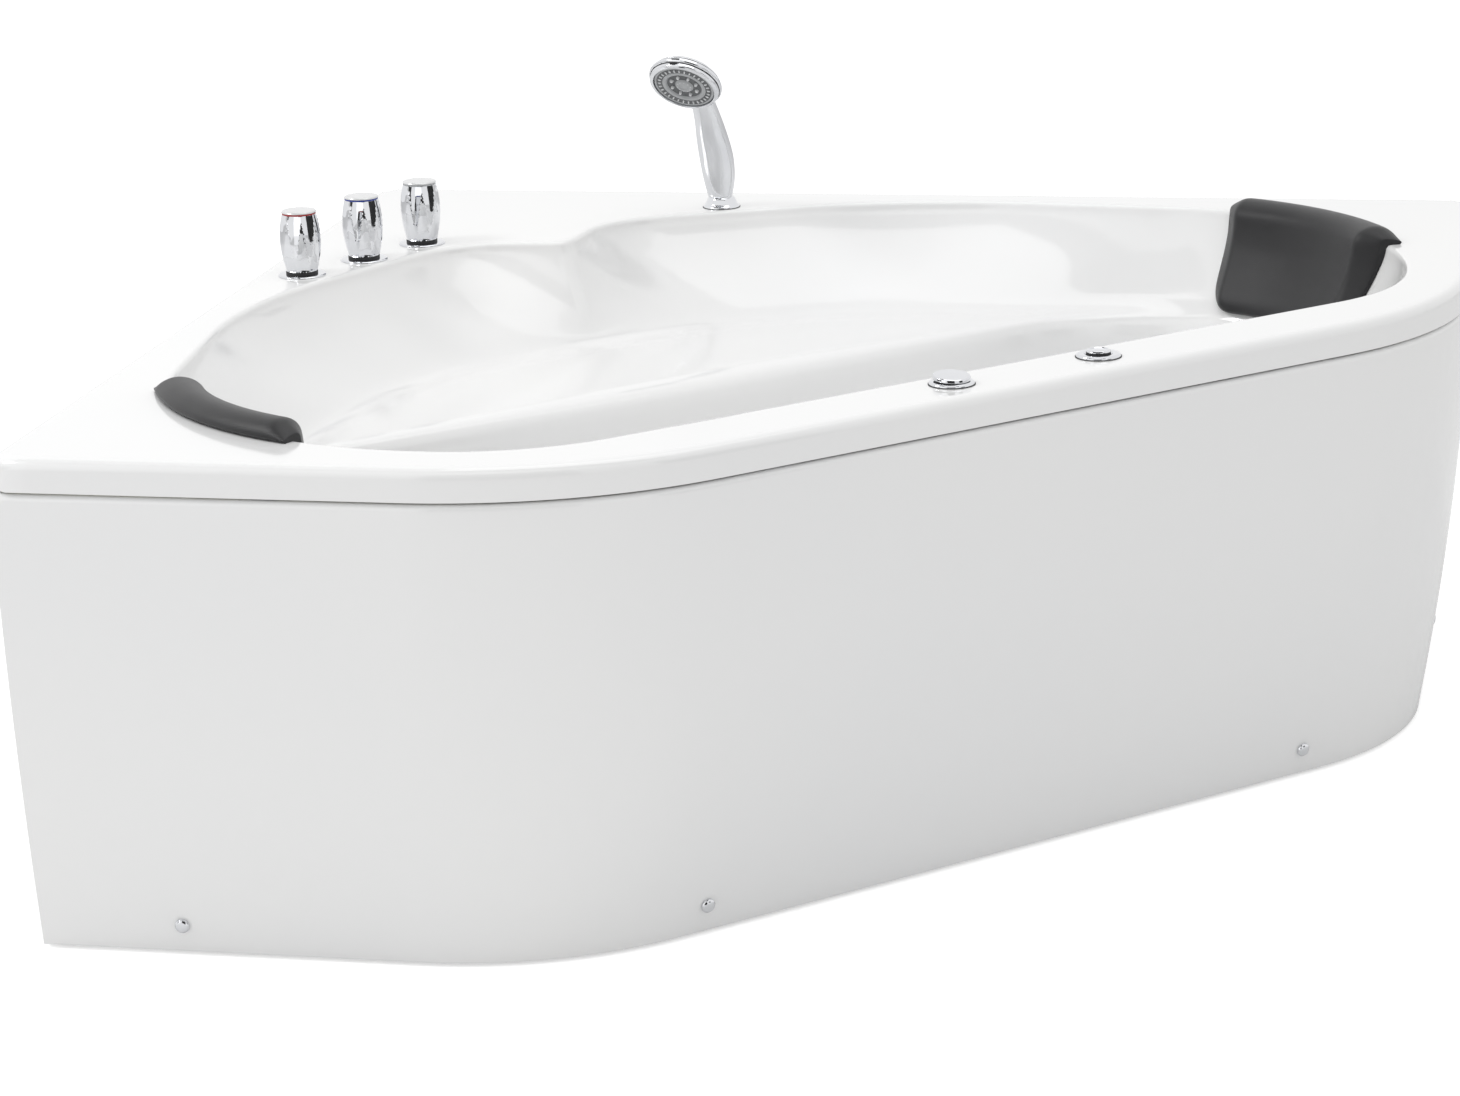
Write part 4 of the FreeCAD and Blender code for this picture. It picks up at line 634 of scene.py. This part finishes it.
# %% Spin a profile
def eased(profile, size=0.6):
    """A profile in (radius, height) with its corners rounded, apart from those on the axis."""
    points = [np.array(p, float) for p in profile]
    result = []
    for i, here in enumerate(points):
        if i in (0, len(points) - 1):
            result.append(here)
            continue
        before, after = points[i - 1] - here, points[i + 1] - here
        reach_in = min(size, 0.42 * np.linalg.norm(before))
        reach_on = min(size, 0.42 * np.linalg.norm(after))
        a = here + before / np.linalg.norm(before) * reach_in
        b = here + after / np.linalg.norm(after) * reach_on
        result += [a * (1 - t) ** 2 + here * 2 * t * (1 - t) + b * t * t for t in (0.0, 0.3, 0.7, 1.0)]
    return result


def turned(name, profile, place, axis=UP, steps=64, material=chrome, ease=0.6):
    """A closed piece, usually of chrome, spun from a profile in millimetres."""
    points = eased(profile, ease) if ease else profile
    pick()
    bpy.ops.mesh.primitive_circle_add(vertices=len(points))
    piece = bpy.context.object
    piece.name = name
    for vertex, (radius, height) in zip(piece.data.vertices, points):
        vertex.co = (radius / 1000, 0, height / 1000)
    edit_all(piece, lambda: bpy.ops.mesh.spin(steps=steps, angle=2 * pi, center=(0, 0, 0), axis=UP),
             select, merge, face_out,
             lambda: bpy.ops.mesh.delete_loose())
    placed(piece, place, axis)
    piece.data.materials.append(material)
    return smooth(piece, 32)


print("profiles can be spun")

# %% Threads, caps and joins
def threaded(radius, low, high, pitch=1.8, depth=0.5):
    """Profile points of a screw thread, seen as rings, from its low end to its high end."""
    turns = max(2, int((high - low) / pitch))
    points = []
    for i in range(turns):
        start = low + (high - low) * i / turns
        points += [(radius - depth, start), (radius, start + (high - low) / turns / 2)]
    return points + [(radius - depth, high)]


def capped(piece):
    """Fills the open ends of a tube-like piece and turns its faces outwards."""
    edit_all(piece, lambda: select("DESELECT"),
             lambda: bpy.ops.mesh.select_mode(type="EDGE"),
             lambda: bpy.ops.mesh.select_non_manifold(extend=False, use_wire=False, use_multi_face=False,
                                                      use_non_contiguous=False),
             lambda: bpy.ops.mesh.edge_face_add(), select, face_out)
    return piece


def shaded(piece, material, chosen):
    """A second material for the faces whose centre is chosen."""
    piece.data.materials.append(material)
    for face in piece.data.polygons:
        if chosen(face.center):
            face.material_index = 1


def joined(name, pieces):
    """Several pieces as one mesh."""
    pick(*pieces)
    if len(pieces) > 1:
        bpy.ops.object.join()
    pieces[0].name = name
    return pieces[0]


print("lathe ready")

# %% [markdown]
# ## Headrests
# Each headrest is a moulded foam pad with a closed skin. It hooks over the edge of the basin with a short
# lip on the deck and hangs down the end wall, whose arc it follows. It is thick in the middle, its face is
# slightly hollow, and at both ends a crease turns it into a bevelled strip that meets the wall. The pad is
# laid over closed sections from one end to the other, and its two end faces are filled.

# %% Headrests
END_ARC = (110, 1421, 380)
arc_corner, _, _, toward, half_angle = corner_turn([(38, 738, 600), END_ARC, (564, 1421, 250)], 1)
arc_centre = arc_corner + toward * END_ARC[2] / sin(half_angle)
PAD_WIDTH, END_R, END_DRAW, OVER_DECK = 312, 380, 70, 22      # END_DRAW is how far the wall comes in below
STRIP, END_THICK, ROUNDED, DRAWN_UP = 23.0, 0.22, 44.0, 0.26  # the bevelled end strip and its lower corner
PAD_HALF = asin(PAD_WIDTH / 2 / (END_R + OVER_DECK))


def wall_at(depth):
    """Radius of the end wall at a depth below the deck."""
    share = max(0.0, depth - EDGE_ROUND) / (SEAT_DEPTH - EDGE_ROUND)
    return END_R - END_DRAW * share ** WALL_BELLY


def bent(a, b, c, d, t):
    """A point between b and c on a smooth curve through all four."""
    return 0.5 * (2 * b + (c - a) * t + (2 * a - 5 * b + 4 * c - d) * t ** 2
                  + (3 * b - a - 3 * c + d) * t ** 3)


def closed_curve(points, count):
    """Evenly spaced points on a smooth closed curve through the given ones."""
    points = np.array(points, float)
    fine = []
    for i in range(len(points)):
        four = [points[(i + k) % len(points)] for k in (-1, 0, 1, 2)]
        fine += [bent(*four, t) for t in np.linspace(0, 1, 12, endpoint=False)]
    fine = np.array(fine + [fine[0]])
    length = np.concatenate([[0], np.cumsum(np.linalg.norm(np.diff(fine, axis=0), axis=1))])
    even = np.linspace(0, length[-1], count, endpoint=False)
    return np.stack([np.interp(even, length, fine[:, k]) for k in (0, 1)], axis=1)


def pad_profile(thin, short):
    """The pad's closed section: thin scales its thickness, short draws its lower edge up."""
    hang, thick, crest, edge, gap = 119 * short, 34 * thin, 4 + 16 * thin, END_R, 1.6
    back = [(wall_at(hang * s) - gap, -hang * s) for s in (0.98, 0.8, 0.6, 0.4, 0.22, 0.1)]
    lip = [(edge - gap + 1, -5.0), (edge + 1.5, 0.9), (edge + 10, 1.0), (edge + 19, 1.0), (edge + 22, 2.6)]
    top = [(edge + 18, crest * 0.55), (edge + 10, crest * 0.84), (edge, crest)]
    nose = [(edge - thick * out, crest * up) for out, up in ((0.35, 0.98), (0.72, 0.72), (0.98, 0.2))]
    face = [(wall_at(hang * s) - thick * w, -hang * s)
            for s, w in ((0.14, 1.04), (0.32, 0.95), (0.52, 0.86), (0.7, 0.8), (0.85, 0.72), (0.95, 0.52))]
    foot = [(wall_at(hang) - thick * 0.24, -hang * 1.0)]
    return closed_curve(back + lip + top + nose + face + foot, 72)


print("pad section:", len(pad_profile(1, 1)), "points")

# %% Lay the headrests
def headrest(name, flip):
    """A pad on the left end wall, or flipped over the axis of symmetry to the right one."""
    rows = []
    for share in np.sin(np.linspace(-pi / 2, pi / 2, 49)):
        from_end = (1 - abs(share)) * PAD_HALF * END_R
        thin = END_THICK + 0.78 * min(1.0, from_end / STRIP) ** 0.85
        corner = min(1.0, from_end / ROUNDED)
        short = 1 - DRAWN_UP * (1 - sqrt(max(0.0, 1 - (1 - corner) ** 2)))
        angle = 0.75 * pi + share * PAD_HALF
        row = []
        for out, height in pad_profile(thin, short):
            u, v = arc_centre[0] + cos(angle) * out, arc_centre[1] + sin(angle) * out
            row.append(spot(v, u, RIM + height) if flip else spot(u, v, RIM + height))
        rows.append(row)
    pad = capped(laid(name, rows, skin))
    return smooth(apply(pad, "SUBSURF", levels=1, render_levels=1), 50)


for end, flip in (("left", False), ("right", True)):
    name = "headrest_" + end + "_pad"
    pad = belongs(headrest(name, flip), "tub", "cushion", "headrest_" + end)
    print(name, len(pad.data.polygons), "faces")

# %% [markdown]
# ## Tap knobs
# The three knobs are chromed barrels. Sixteen long flats run up each: eight are wide at the top and come
# to a point below, and eight lie between them the other way up. A flat on a barrel is a chord across its
# arc, so each point's radius is shortened to reach the chord. Below the knob is a flange on the deck, and
# on top a thin coloured ring and a pale cap.

# %% Knobs
RING_FINISH = {"hot": (red, "hot_red"), "cold": (blue, "cold_blue"), "diverter": (grey, "plain_ring")}
KNOB_FOOT, KNOB_TALL, FLUTES, COLUMNS = 6.5, 71.0, 8, 144


def barrel(share):
    return float(np.interp(share, (0, 0.06, 0.14, 0.3, 0.5, 0.7, 0.86, 0.96, 1.0),
                           (20.6, 21.6, 22.8, 24.8, 25.7, 25.2, 23.8, 22.3, 21.6)))


def fluted(share, angle):
    """Radius of the barrel at a share of its height, cut back to the chord of the flute that it is in."""
    wide, half = min(1.0, max(0.0, (share - 0.08) / 0.84)), pi / FLUTES
    radius = barrel(share)
    from_top = (angle + half) % (2 * half) - half
    from_foot = angle % (2 * half) - half
    for offset, span in ((from_top, wide), (from_foot, 1 - wide)):
        chord = half * span
        if chord > 0.01 and abs(offset) < chord:
            hollow = 0.8 * span * (1 - (offset / chord) ** 2)
            radius = barrel(share) * cos(chord) / cos(offset) - hollow
    return radius


def knob_rows(u, v):
    """Sections of a knob: its rounded foot, the fluted barrel and the edge of its top."""
    def ring(height, radius_at):
        foot = spot(u, v, RIM + KNOB_FOOT + height)
        return [foot + Vector((cos(a), sin(a), 0)) * radius_at(a) / 1000
                for a in np.linspace(0, 2 * pi, COLUMNS, endpoint=False)]

    rows = [ring(height, lambda a: radius) for radius, height in ((14.0, 1.2), (18.6, 0.4), (19.8, 0.0))]
    for share in np.linspace(0.012, 1, 40):
        rows.append(ring(share * KNOB_TALL, lambda a: fluted(share, a)))
    return rows + [ring(KNOB_TALL + 0.5, lambda a: radius) for radius in (20.2, 18.0)]


print("knob sections:", len(knob_rows(0, 0)))

# %% Three taps
flanges, shadow_gap_rings, valves = [], [], []
for name, (u, v) in TAPS.items():
    ring_paint, ring_slot = RING_FINISH[name]
    body, top = name + "_tap", RIM + KNOB_FOOT + KNOB_TALL
    knob = capped(laid(name + "_barrel", knob_rows(u, v), chrome))
    belongs(smooth(knob, 14), body, "chrome", name + "_knob")
    ring = turned(name + "_band", [(0, 0), (21.3, 0), (21.3, 2.2), (0, 2.2)], spot(u, v, top + 0.5),
                  material=ring_paint, ease=0.3)
    belongs(ring, body, ring_slot, name + "_ring")
    cap = turned(name + "_disc", [(0, 0), (21.6, 0), (21.9, 0.9), (20.8, 2.3), (17, 2.6), (0, 2.75)],
                 spot(u, v, top + 2.6), material=cap_white, ease=0.5)
    belongs(cap, body, "cap_white", name + "_cap")
    flanges.append(turned("flange", [(0, 0), (30, 0), (30, 1.1), (28.6, 2.3), (22, 2.5), (0, 2.5)],
                          spot(u, v, RIM)))
    # a near-black ring between the flange and the knob: painted shadow in the gap under the knob
    shadow_gap_rings.append(turned("shadow_gap_ring", [(0, 0), (20.0, 0), (20.0, 3.7), (0, 3.7)], spot(u, v, RIM + 2.5),
                          material=painted_shadow_gap, ease=0.3))
    inlet, stem = threaded(10.48, -85, -70), threaded(14.5, -15, -1)
    valve = [(17, -69), (17, -44), (15.6, -42), (15.6, -32), (17, -30), (17, -17)]
    valves.append(turned("valve", [(0, -85)] + inlet + valve + stem + [(0, 0)], spot(u, v, RIM),
                         material=brass, ease=0.25))
belongs(joined("tap_flange_rings", flanges), "tub", "chrome", "tap_flanges")
belongs(joined("tap_shadow_gap_rings", shadow_gap_rings), "tub", "foot_rubber")
belongs(joined("tap_valve_bodies", valves), "tub", "brass", "tap_valves")
print("taps:", len(TAPS))

# %% [markdown]
# ## Hand shower
# The hand shower stands in a domed collar on the deck. Its handle is one chromed moulding with a broad
# rounded front, and it swells in the middle and leans forward into the head. It is laid over oval sections
# along a smooth line. The head is turned: a domed back, a groove, a stepped ring and a bezel.

# %% Collar and handle
FACING, TILT = radians(-100.3), radians(43.4)
facing = Vector((cos(FACING), sin(FACING), 0))
spray = facing * cos(TILT) - UP * sin(TILT)
side = facing.cross(UP)


def shower_spot(forward, height):
    return spot(*SHOWER, RIM + height) + facing * forward / 1000


collar_dome = [(24.5, 0), (24.5, 1.6), (23.4, 3.2), (21.0, 5.0), (19.4, 8.6), (17.6, 12.4), (15.6, 14.6),
               (13.0, 15.2), (0, 15.2)]
collar = turned("shower_collar", [(0, -45)] + threaded(12.5, -45, -1) + collar_dome,
                spot(*SHOWER, RIM), ease=0.8)
belongs(collar, "tub", "chrome", "handset_base")

# Each station of the handle: forward, height, half width, half depth.
STATIONS = np.array([(0.6, 15.3, 16.0, 12.0), (2.0, 20.0, 17.4, 13.0), (3.6, 34.0, 20.4, 14.2),
                     (6.2, 50.0, 22.4, 15.0), (12.7, 72.0, 23.2, 15.2), (24.3, 98.0, 21.6, 14.2),
                     (38.0, 126.0, 18.2, 12.8), (55.0, 152.0, 15.6, 11.8), (74.0, 175.0, 14.4, 11.0)])


def eased_line(points, count):
    """A smooth open curve through points of any size."""
    padded = np.concatenate([[2 * points[0] - points[1]], points, [2 * points[-1] - points[-2]]])
    result = []
    for s in np.linspace(0, len(points) - 1, count):
        i = min(int(s), len(points) - 2)
        result.append(bent(*padded[i:i + 4], s - i))
    return np.array(result)


print("handle stations:", len(STATIONS))

# %% Lay the handle
line = eased_line(STATIONS, 60)
slopes = np.gradient(line[:, :2], axis=0)
rows = []
for (forward, height, half_wide, half_deep), (run, rise) in zip(line, slopes):
    lean = atan2(run, rise)
    front = facing * cos(lean) - UP * sin(lean)
    row = []
    for a in np.linspace(0, 2 * pi, 64, endpoint=False):
        c, s = cos(a), sin(a)
        power = 2 / 2.9 if s > 0 else 2 / 2.0
        wide = copysign(abs(c) ** power, c) * half_wide
        deep = copysign(abs(s) ** power, s) * half_deep
        row.append(shower_spot(forward, height) + (side * wide + front * deep) / 1000)
    rows.append(row)
handle = laid("shower_handle", rows, chrome)
smooth(capped(handle), 50)
print("handle:", len(handle.data.polygons), "faces")

# %% Head
face_spot = shower_spot(120.0, 179.0)
back_spot = face_spot - spray * 0.030
shell = [(0, -2.0), (12, -1.4), (26, 1.0), (38, 6.0), (44.6, 11.4), (46.8, 14.6), (46.0, 15.4),
         (47.6, 16.2), (49.0, 18.0), (49.0, 21.0), (47.8, 22.4), (46.6, 22.8), (46.4, 24.4), (46.2, 27.6),
         (44.0, 29.6), (41.6, 30.0), (41.0, 29.2), (41.0, 22.5), (0, 22.5)]
head = turned("shower_head", shell, back_spot, spray, steps=96, ease=0.5)


def in_groove_painted_dark(centre):
    depth_in, outside = (centre - back_spot).dot(spray) * 1000, (centre - back_spot).length > 0.047
    return 14.9 < depth_in < 15.9 or 22.6 < depth_in < 24.2 and outside


# the faces in the head's two grooves take near-black: painted shade in the grooves
shaded(head, painted_shadow_gap, in_groove_painted_dark)
tail = turned("shower_tail", [(0, -24), (8.4, -24), (8.4, 16), (0, 16)], spot(*SHOWER, RIM))
belongs(joined("shower_body", [handle, head, tail]), "handset", "chrome", "handset_body")
print("hand shower made")

# %% Spray plate
plate_low = face_spot - spray * 0.008
disc = [(0, 0.4), (40.4, 0.4), (40.4, 5.2), (39.2, 5.9), (37.4, 5.5), (29.0, 5.5), (27.6, 6.1), (25.4, 6.1),
        (24.2, 5.2), (23.0, 3.2), (12.6, 3.2), (11.6, 4.6), (10.6, 5.6), (7.2, 5.8), (6.2, 4.6), (3.4, 4.4),
        (0, 4.4)]
plate = turned("spray_plate_disc", disc, plate_low, spray, steps=96, material=spray_grey, ease=0.4)


def in_recess_painted_dark(centre):
    sideways = (centre - plate_low) - spray * (centre - plate_low).dot(spray)
    return 12.4 < sideways.length * 1000 < 23.2 or 29.2 < sideways.length * 1000 < 37.2


# the faces in the plate's two sunk rings take the darker grey: painted shade in the recesses
shaded(plate, painted_shade_grey, in_recess_painted_dark)
belongs(plate, "spray_plate", "spray_grey", "spray_face")
print("plate:", len(plate.data.polygons), "faces")

# %% Nozzles
def studs(count, ring, low, long, wide, tall, start=0.0):
    """One moulded nozzle, copied round a ring; each copy has its own mesh."""
    pick()
    bpy.ops.mesh.primitive_cylinder_add(vertices=10, radius=0.5, depth=1.0)
    first = bpy.context.object
    for vertex in first.data.vertices:
        lift = vertex.co.z + 0.5
        narrow = 1 - 0.3 * lift
        vertex.co = Vector((vertex.co.x * long * narrow, vertex.co.y * wide * narrow, lift * tall)) / 1000
    apply(first, "BEVEL", width=min(wide, tall) * 0.00018, segments=2, limit_method="ANGLE")
    shape = first.data
    turn = spray.to_track_quat("Z", "Y").to_matrix().to_4x4()
    copies = [first] + [bpy.data.objects.new("nozzle", shape.copy()) for _ in range(count - 1)]
    for copy in copies[1:]:
        bpy.context.scene.collection.objects.link(copy)
    for i, copy in enumerate(copies):
        angle = start + 2 * pi * i / count
        at_ring = Matrix.Rotation(angle, 4, "Z") @ Matrix.Translation((ring / 1000, 0, low / 1000))
        copy.data.transform(Matrix.Translation(plate_low) @ turn @ at_ring)
        copy.data.materials.clear()
        copy.data.materials.append(silicone)
    return copies


nozzles = studs(30, 33.2, 5.2, 5.6, 2.3, 1.7) + studs(8, 17.8, 3.0, 5.6, 4.4, 3.4, 0.2)
nozzles += studs(10, 9.0, 5.2, 1.8, 1.6, 1.3)
nozzles = smooth(joined("spray_nozzle_rings", nozzles), 40)
belongs(nozzles, "spray_plate", "nozzle_grey", "spray_nozzles")
print("nozzles:", len(nozzles.data.polygons), "faces")

# %% [markdown]
# ## Deck buttons
# Two chromed fittings stand on the front deck. The left one is the air regulator, a ring with a cap that
# slopes towards the basin. The right one is the pump's push button, a domed ring with a stepped cap.

# %% Buttons
ring_line = [(15, 0), (25.5, 0.7), (25.5, 1.8), (24.6, 3.2), (22.4, 4.0), (17.5, 4.1), (16.2, 3.4),
             (15, 1.0), (15, 0)]
rings = [turned("deck_ring", ring_line, across(BUTTON_P, q, RIM), ease=0.35)
         for q in (AIR_Q, PUSH_Q)]
belongs(joined("deck_fitting_rings", rings), "tub", "chrome", "deck_rings")
# thin near-black rings under the deck rings and the shower collar: painted shadow lines under their edges
shadow_lines = [turned("shadow_line_ring", [(19, 0), (radius, 0), (radius, thick), (19, thick), (19, 0)], place,
                material=painted_shadow_gap, ease=0.2)
         for radius, thick, place in ((26.3, 0.9, across(BUTTON_P, AIR_Q, RIM)),
                                      (26.3, 0.9, across(BUTTON_P, PUSH_Q, RIM)),
                                      (25.2, 0.7, spot(*SHOWER, RIM)))]
belongs(joined("deck_shadow_lines", shadow_lines), "tub", "foot_rubber")
print("deck rings:", len(rings), "and seals:", len(shadow_lines))

# %% Air regulator and push button
slope = atan2(3.5, 40.0)
lid = [(0, 0), (18.2, 0), (18.2, 1.3), (20.6, 1.5), (21.2, 2.4), (20.8, 5.4), (19.6, 6.2), (0, 6.3)]
cap = turned("air_cap", lid, Vector((0, 0, 0)), ease=0.4)
# the lowest band of the cap is near-black: painted shadow under its rim
shaded(cap, painted_shadow_gap, lambda centre: centre.z < 0.0014)
for vertex in cap.data.vertices:
    if vertex.co.z > 0.002:
        vertex.co.z += (vertex.co.x * FORWARD.x + vertex.co.y * FORWARD.y) * -tan(slope)
cap.data.transform(Matrix.Translation(across(BUTTON_P, AIR_Q, RIM + 4.3)))
stem = turned("air_stem", [(0, -24), (6, -24), (6, 6), (0, 6)], across(BUTTON_P, AIR_Q, RIM))
belongs(smooth(joined("air_regulator_cap", [cap, stem]), 30), "air_regulator", "chrome", "air_knob")
crown = [(0, -24), (5.9, -24), (5.9, -6), (13.9, -5.4), (13.9, 6.4), (12.6, 8.0), (11.2, 8.4), (10.2, 7.4),
         (9.2, 7.5), (5, 8.0), (0, 8.2)]
push = turned("pump_cap", crown, across(BUTTON_P, PUSH_Q, RIM), ease=0.4)
# the cap's side below its rounded top is near-black: painted shadow under the top
shaded(push, painted_shadow_gap, lambda centre: centre.z < (RIM + 5.6) / 1000)
belongs(push, "pump_button", "chrome", "push_button")
print("two deck buttons")

# %% [markdown]
# ## Screws, waste and overflow
# Four screws hold the apron near the floor, each under a small chromed dome that leans with the panel. The
# waste has a flange with a domed pop-up plug on three guide fins. The overflow is a round knob low on the
# front wall of the basin, with a grip cut round its edge.

# %% Screw caps
SCREW_Z, SCREW_U, SCREW_Q = 36.0, 168, 425
panel = APRON_TOP - ROUND - FLOOR_GAP
share_low = (APRON_TOP - ROUND - SCREW_Z) / panel
ease_low, lean_low = share_low ** BELLY, BELLY * share_low ** (BELLY - 1) / panel
end_line, front_line = SIDE - END_IN * ease_low, FRONT_P - FRONT_IN * ease_low
cup = [(0, 2.2), (7.4, 2.2), (7.4, 0.2), (8.5, 0.2), (8.5, 1.6), (7.9, 3.4), (6.2, 4.9), (3.6, 5.8),
       (0, 6.1)]
caps = []
for place, out, inset in ((spot(SCREW_U, end_line, SCREW_Z), Vector((0, -1, 0)), END_IN),
                          (across(front_line, -SCREW_Q, SCREW_Z), FORWARD, FRONT_IN),
                          (across(front_line, SCREW_Q, SCREW_Z), FORWARD, FRONT_IN),
                          (spot(end_line, SCREW_U, SCREW_Z), Vector((1, 0, 0)), END_IN)):
    way = (out - UP * lean_low * inset).normalized()
    caps.append(turned("screw_dome", cup, place, way, steps=40, ease=0.3))
belongs(joined("apron_screw_domes", caps), "tub", "chrome", "apron_screw_caps")
print("screw caps:", len(caps))

# %% Waste and overflow
WELL_Z = RIM - WELL_DEPTH
mouth = [(20, -20), (25, -20), (25, 0), (35, 0), (35, 0.8), (33.4, 1.9), (28.6, 2.0), (26.8, 1.4),
         (20.8, 0.8), (20, 0.2), (20, -20)]
flange = turned("drain_flange_ring", mouth, across(DRAIN_P, 0, WELL_Z), ease=0.4)
belongs(flange, "tub", "chrome", "drain_flange")
plug_place = across(DRAIN_P, 0, WELL_Z + 2.1)
plug_dome = [(0, -15), (3.4, -15), (3.4, 0), (25.6, 0), (26.8, 0.8), (27, 1.8), (25.4, 3.2), (18, 4.5),
             (8, 5.0), (0, 5.05)]
plug = turned("drain_plug_disc", plug_dome, plug_place, ease=0.5)
FIN_SIZE, FIN_PLACE, THIRD_TURN = (0.0166, 0.0016, 0.0115, 1), (0.0103, 0, -0.0055), 2.0944
fins = []
for i in range(3):
    pick()
    bpy.ops.mesh.primitive_cube_add(size=1)
    fin = bpy.context.object
    fin.data.transform(Matrix.Diagonal(FIN_SIZE))
    fin.data.transform(Matrix.Translation(FIN_PLACE))
    apply(fin, "BEVEL", width=0.0005, segments=2)
    fin.data.transform(Matrix.Translation(plug_place) @ Matrix.Rotation(i * THIRD_TURN, 4, "Z"))
    fin.data.materials.append(chrome)
    fins.append(fin)
belongs(smooth(joined("drain_plug_body", [plug] + fins), 32), "plug", "chrome", "drain_plug")
print("waste: flange, plug and", len(fins), "fins")

# %% Overflow knob
KNOB_R, GRIPS, GRIP_DEPTH = 0.036, 20, 0.03
pick()
bpy.ops.mesh.primitive_cylinder_add(vertices=120, radius=KNOB_R, depth=0.012)
knob = bpy.context.object
edit_all(knob, lambda: select("DESELECT"))
for face in knob.data.polygons:
    face.select = face.normal.z > 0.9
bpy.ops.object.mode_set(mode="EDIT")
for inwards, rise in ((0.003, 0.002), (0.004, -0.0006), (0.012, 0.0008)):
    bpy.ops.mesh.inset(thickness=inwards, depth=rise)
bpy.ops.object.mode_set(mode="OBJECT")
for vertex in knob.data.vertices:
    reach_out = hypot(vertex.co.x, vertex.co.y)
    if reach_out > 0.035:
        wave = cos(atan2(vertex.co.y, vertex.co.x) * GRIPS)
        cut = 1 - GRIP_DEPTH * (0.5 - 0.5 * wave)
        vertex.co = (vertex.co.x * cut, vertex.co.y * cut, vertex.co.z)
apply(knob, "BEVEL", width=0.0006, segments=2, limit_method="ANGLE")
axle = turned("overflow_axle", [(0, -20), (3.4, -20), (3.4, -6), (0, -6)], Vector((0, 0, 0)))
knob.data.materials.append(chrome)
knob = joined("overflow_control_knob", [knob, axle])
placed(knob, across(OVERFLOW_P - 19.2, 0, OVERFLOW_Z), -FORWARD)
belongs(smooth(knob, 30), "overflow_control", "chrome", "overflow_knob")
print("overflow knob:", len(knob.data.polygons), "faces")

# %% [markdown]
# ## Floor
# The floor is pale and plain. What the camera sees of it is lifted to white, so that only the soft shadow
# under the tub stays.

# %% Floor
pick()
bpy.ops.mesh.primitive_plane_add(size=60, location=(0, 0, 0))
floor = bpy.context.object
floor.name = "floor"
floor_paint = bpy.data.materials.new("pale floor")
floor_paint.use_nodes = True
tree = floor_paint.node_tree
shader = tree.nodes["Principled BSDF"]
dial(shader, Base_Color=(0.93, 0.93, 0.93, 1.0), Roughness=0.8, Specular_IOR_Level=0.1,
     Emission_Color=WHITE)
lift = linked(tree, "ShaderNodeMath", operation="MULTIPLY")
lift.inputs[1].default_value = 0.5
wire(tree, linked(tree, "ShaderNodeLightPath"), "Is Camera Ray", lift, 0)
wire(tree, lift, 0, shader, "Emission Strength")
floor.data.materials.append(floor_paint)
print("floor laid")

# %% [markdown]
# ## Last update
# The view layer is brought up to date.

# %% Update the view layer
bpy.context.view_layer.update()
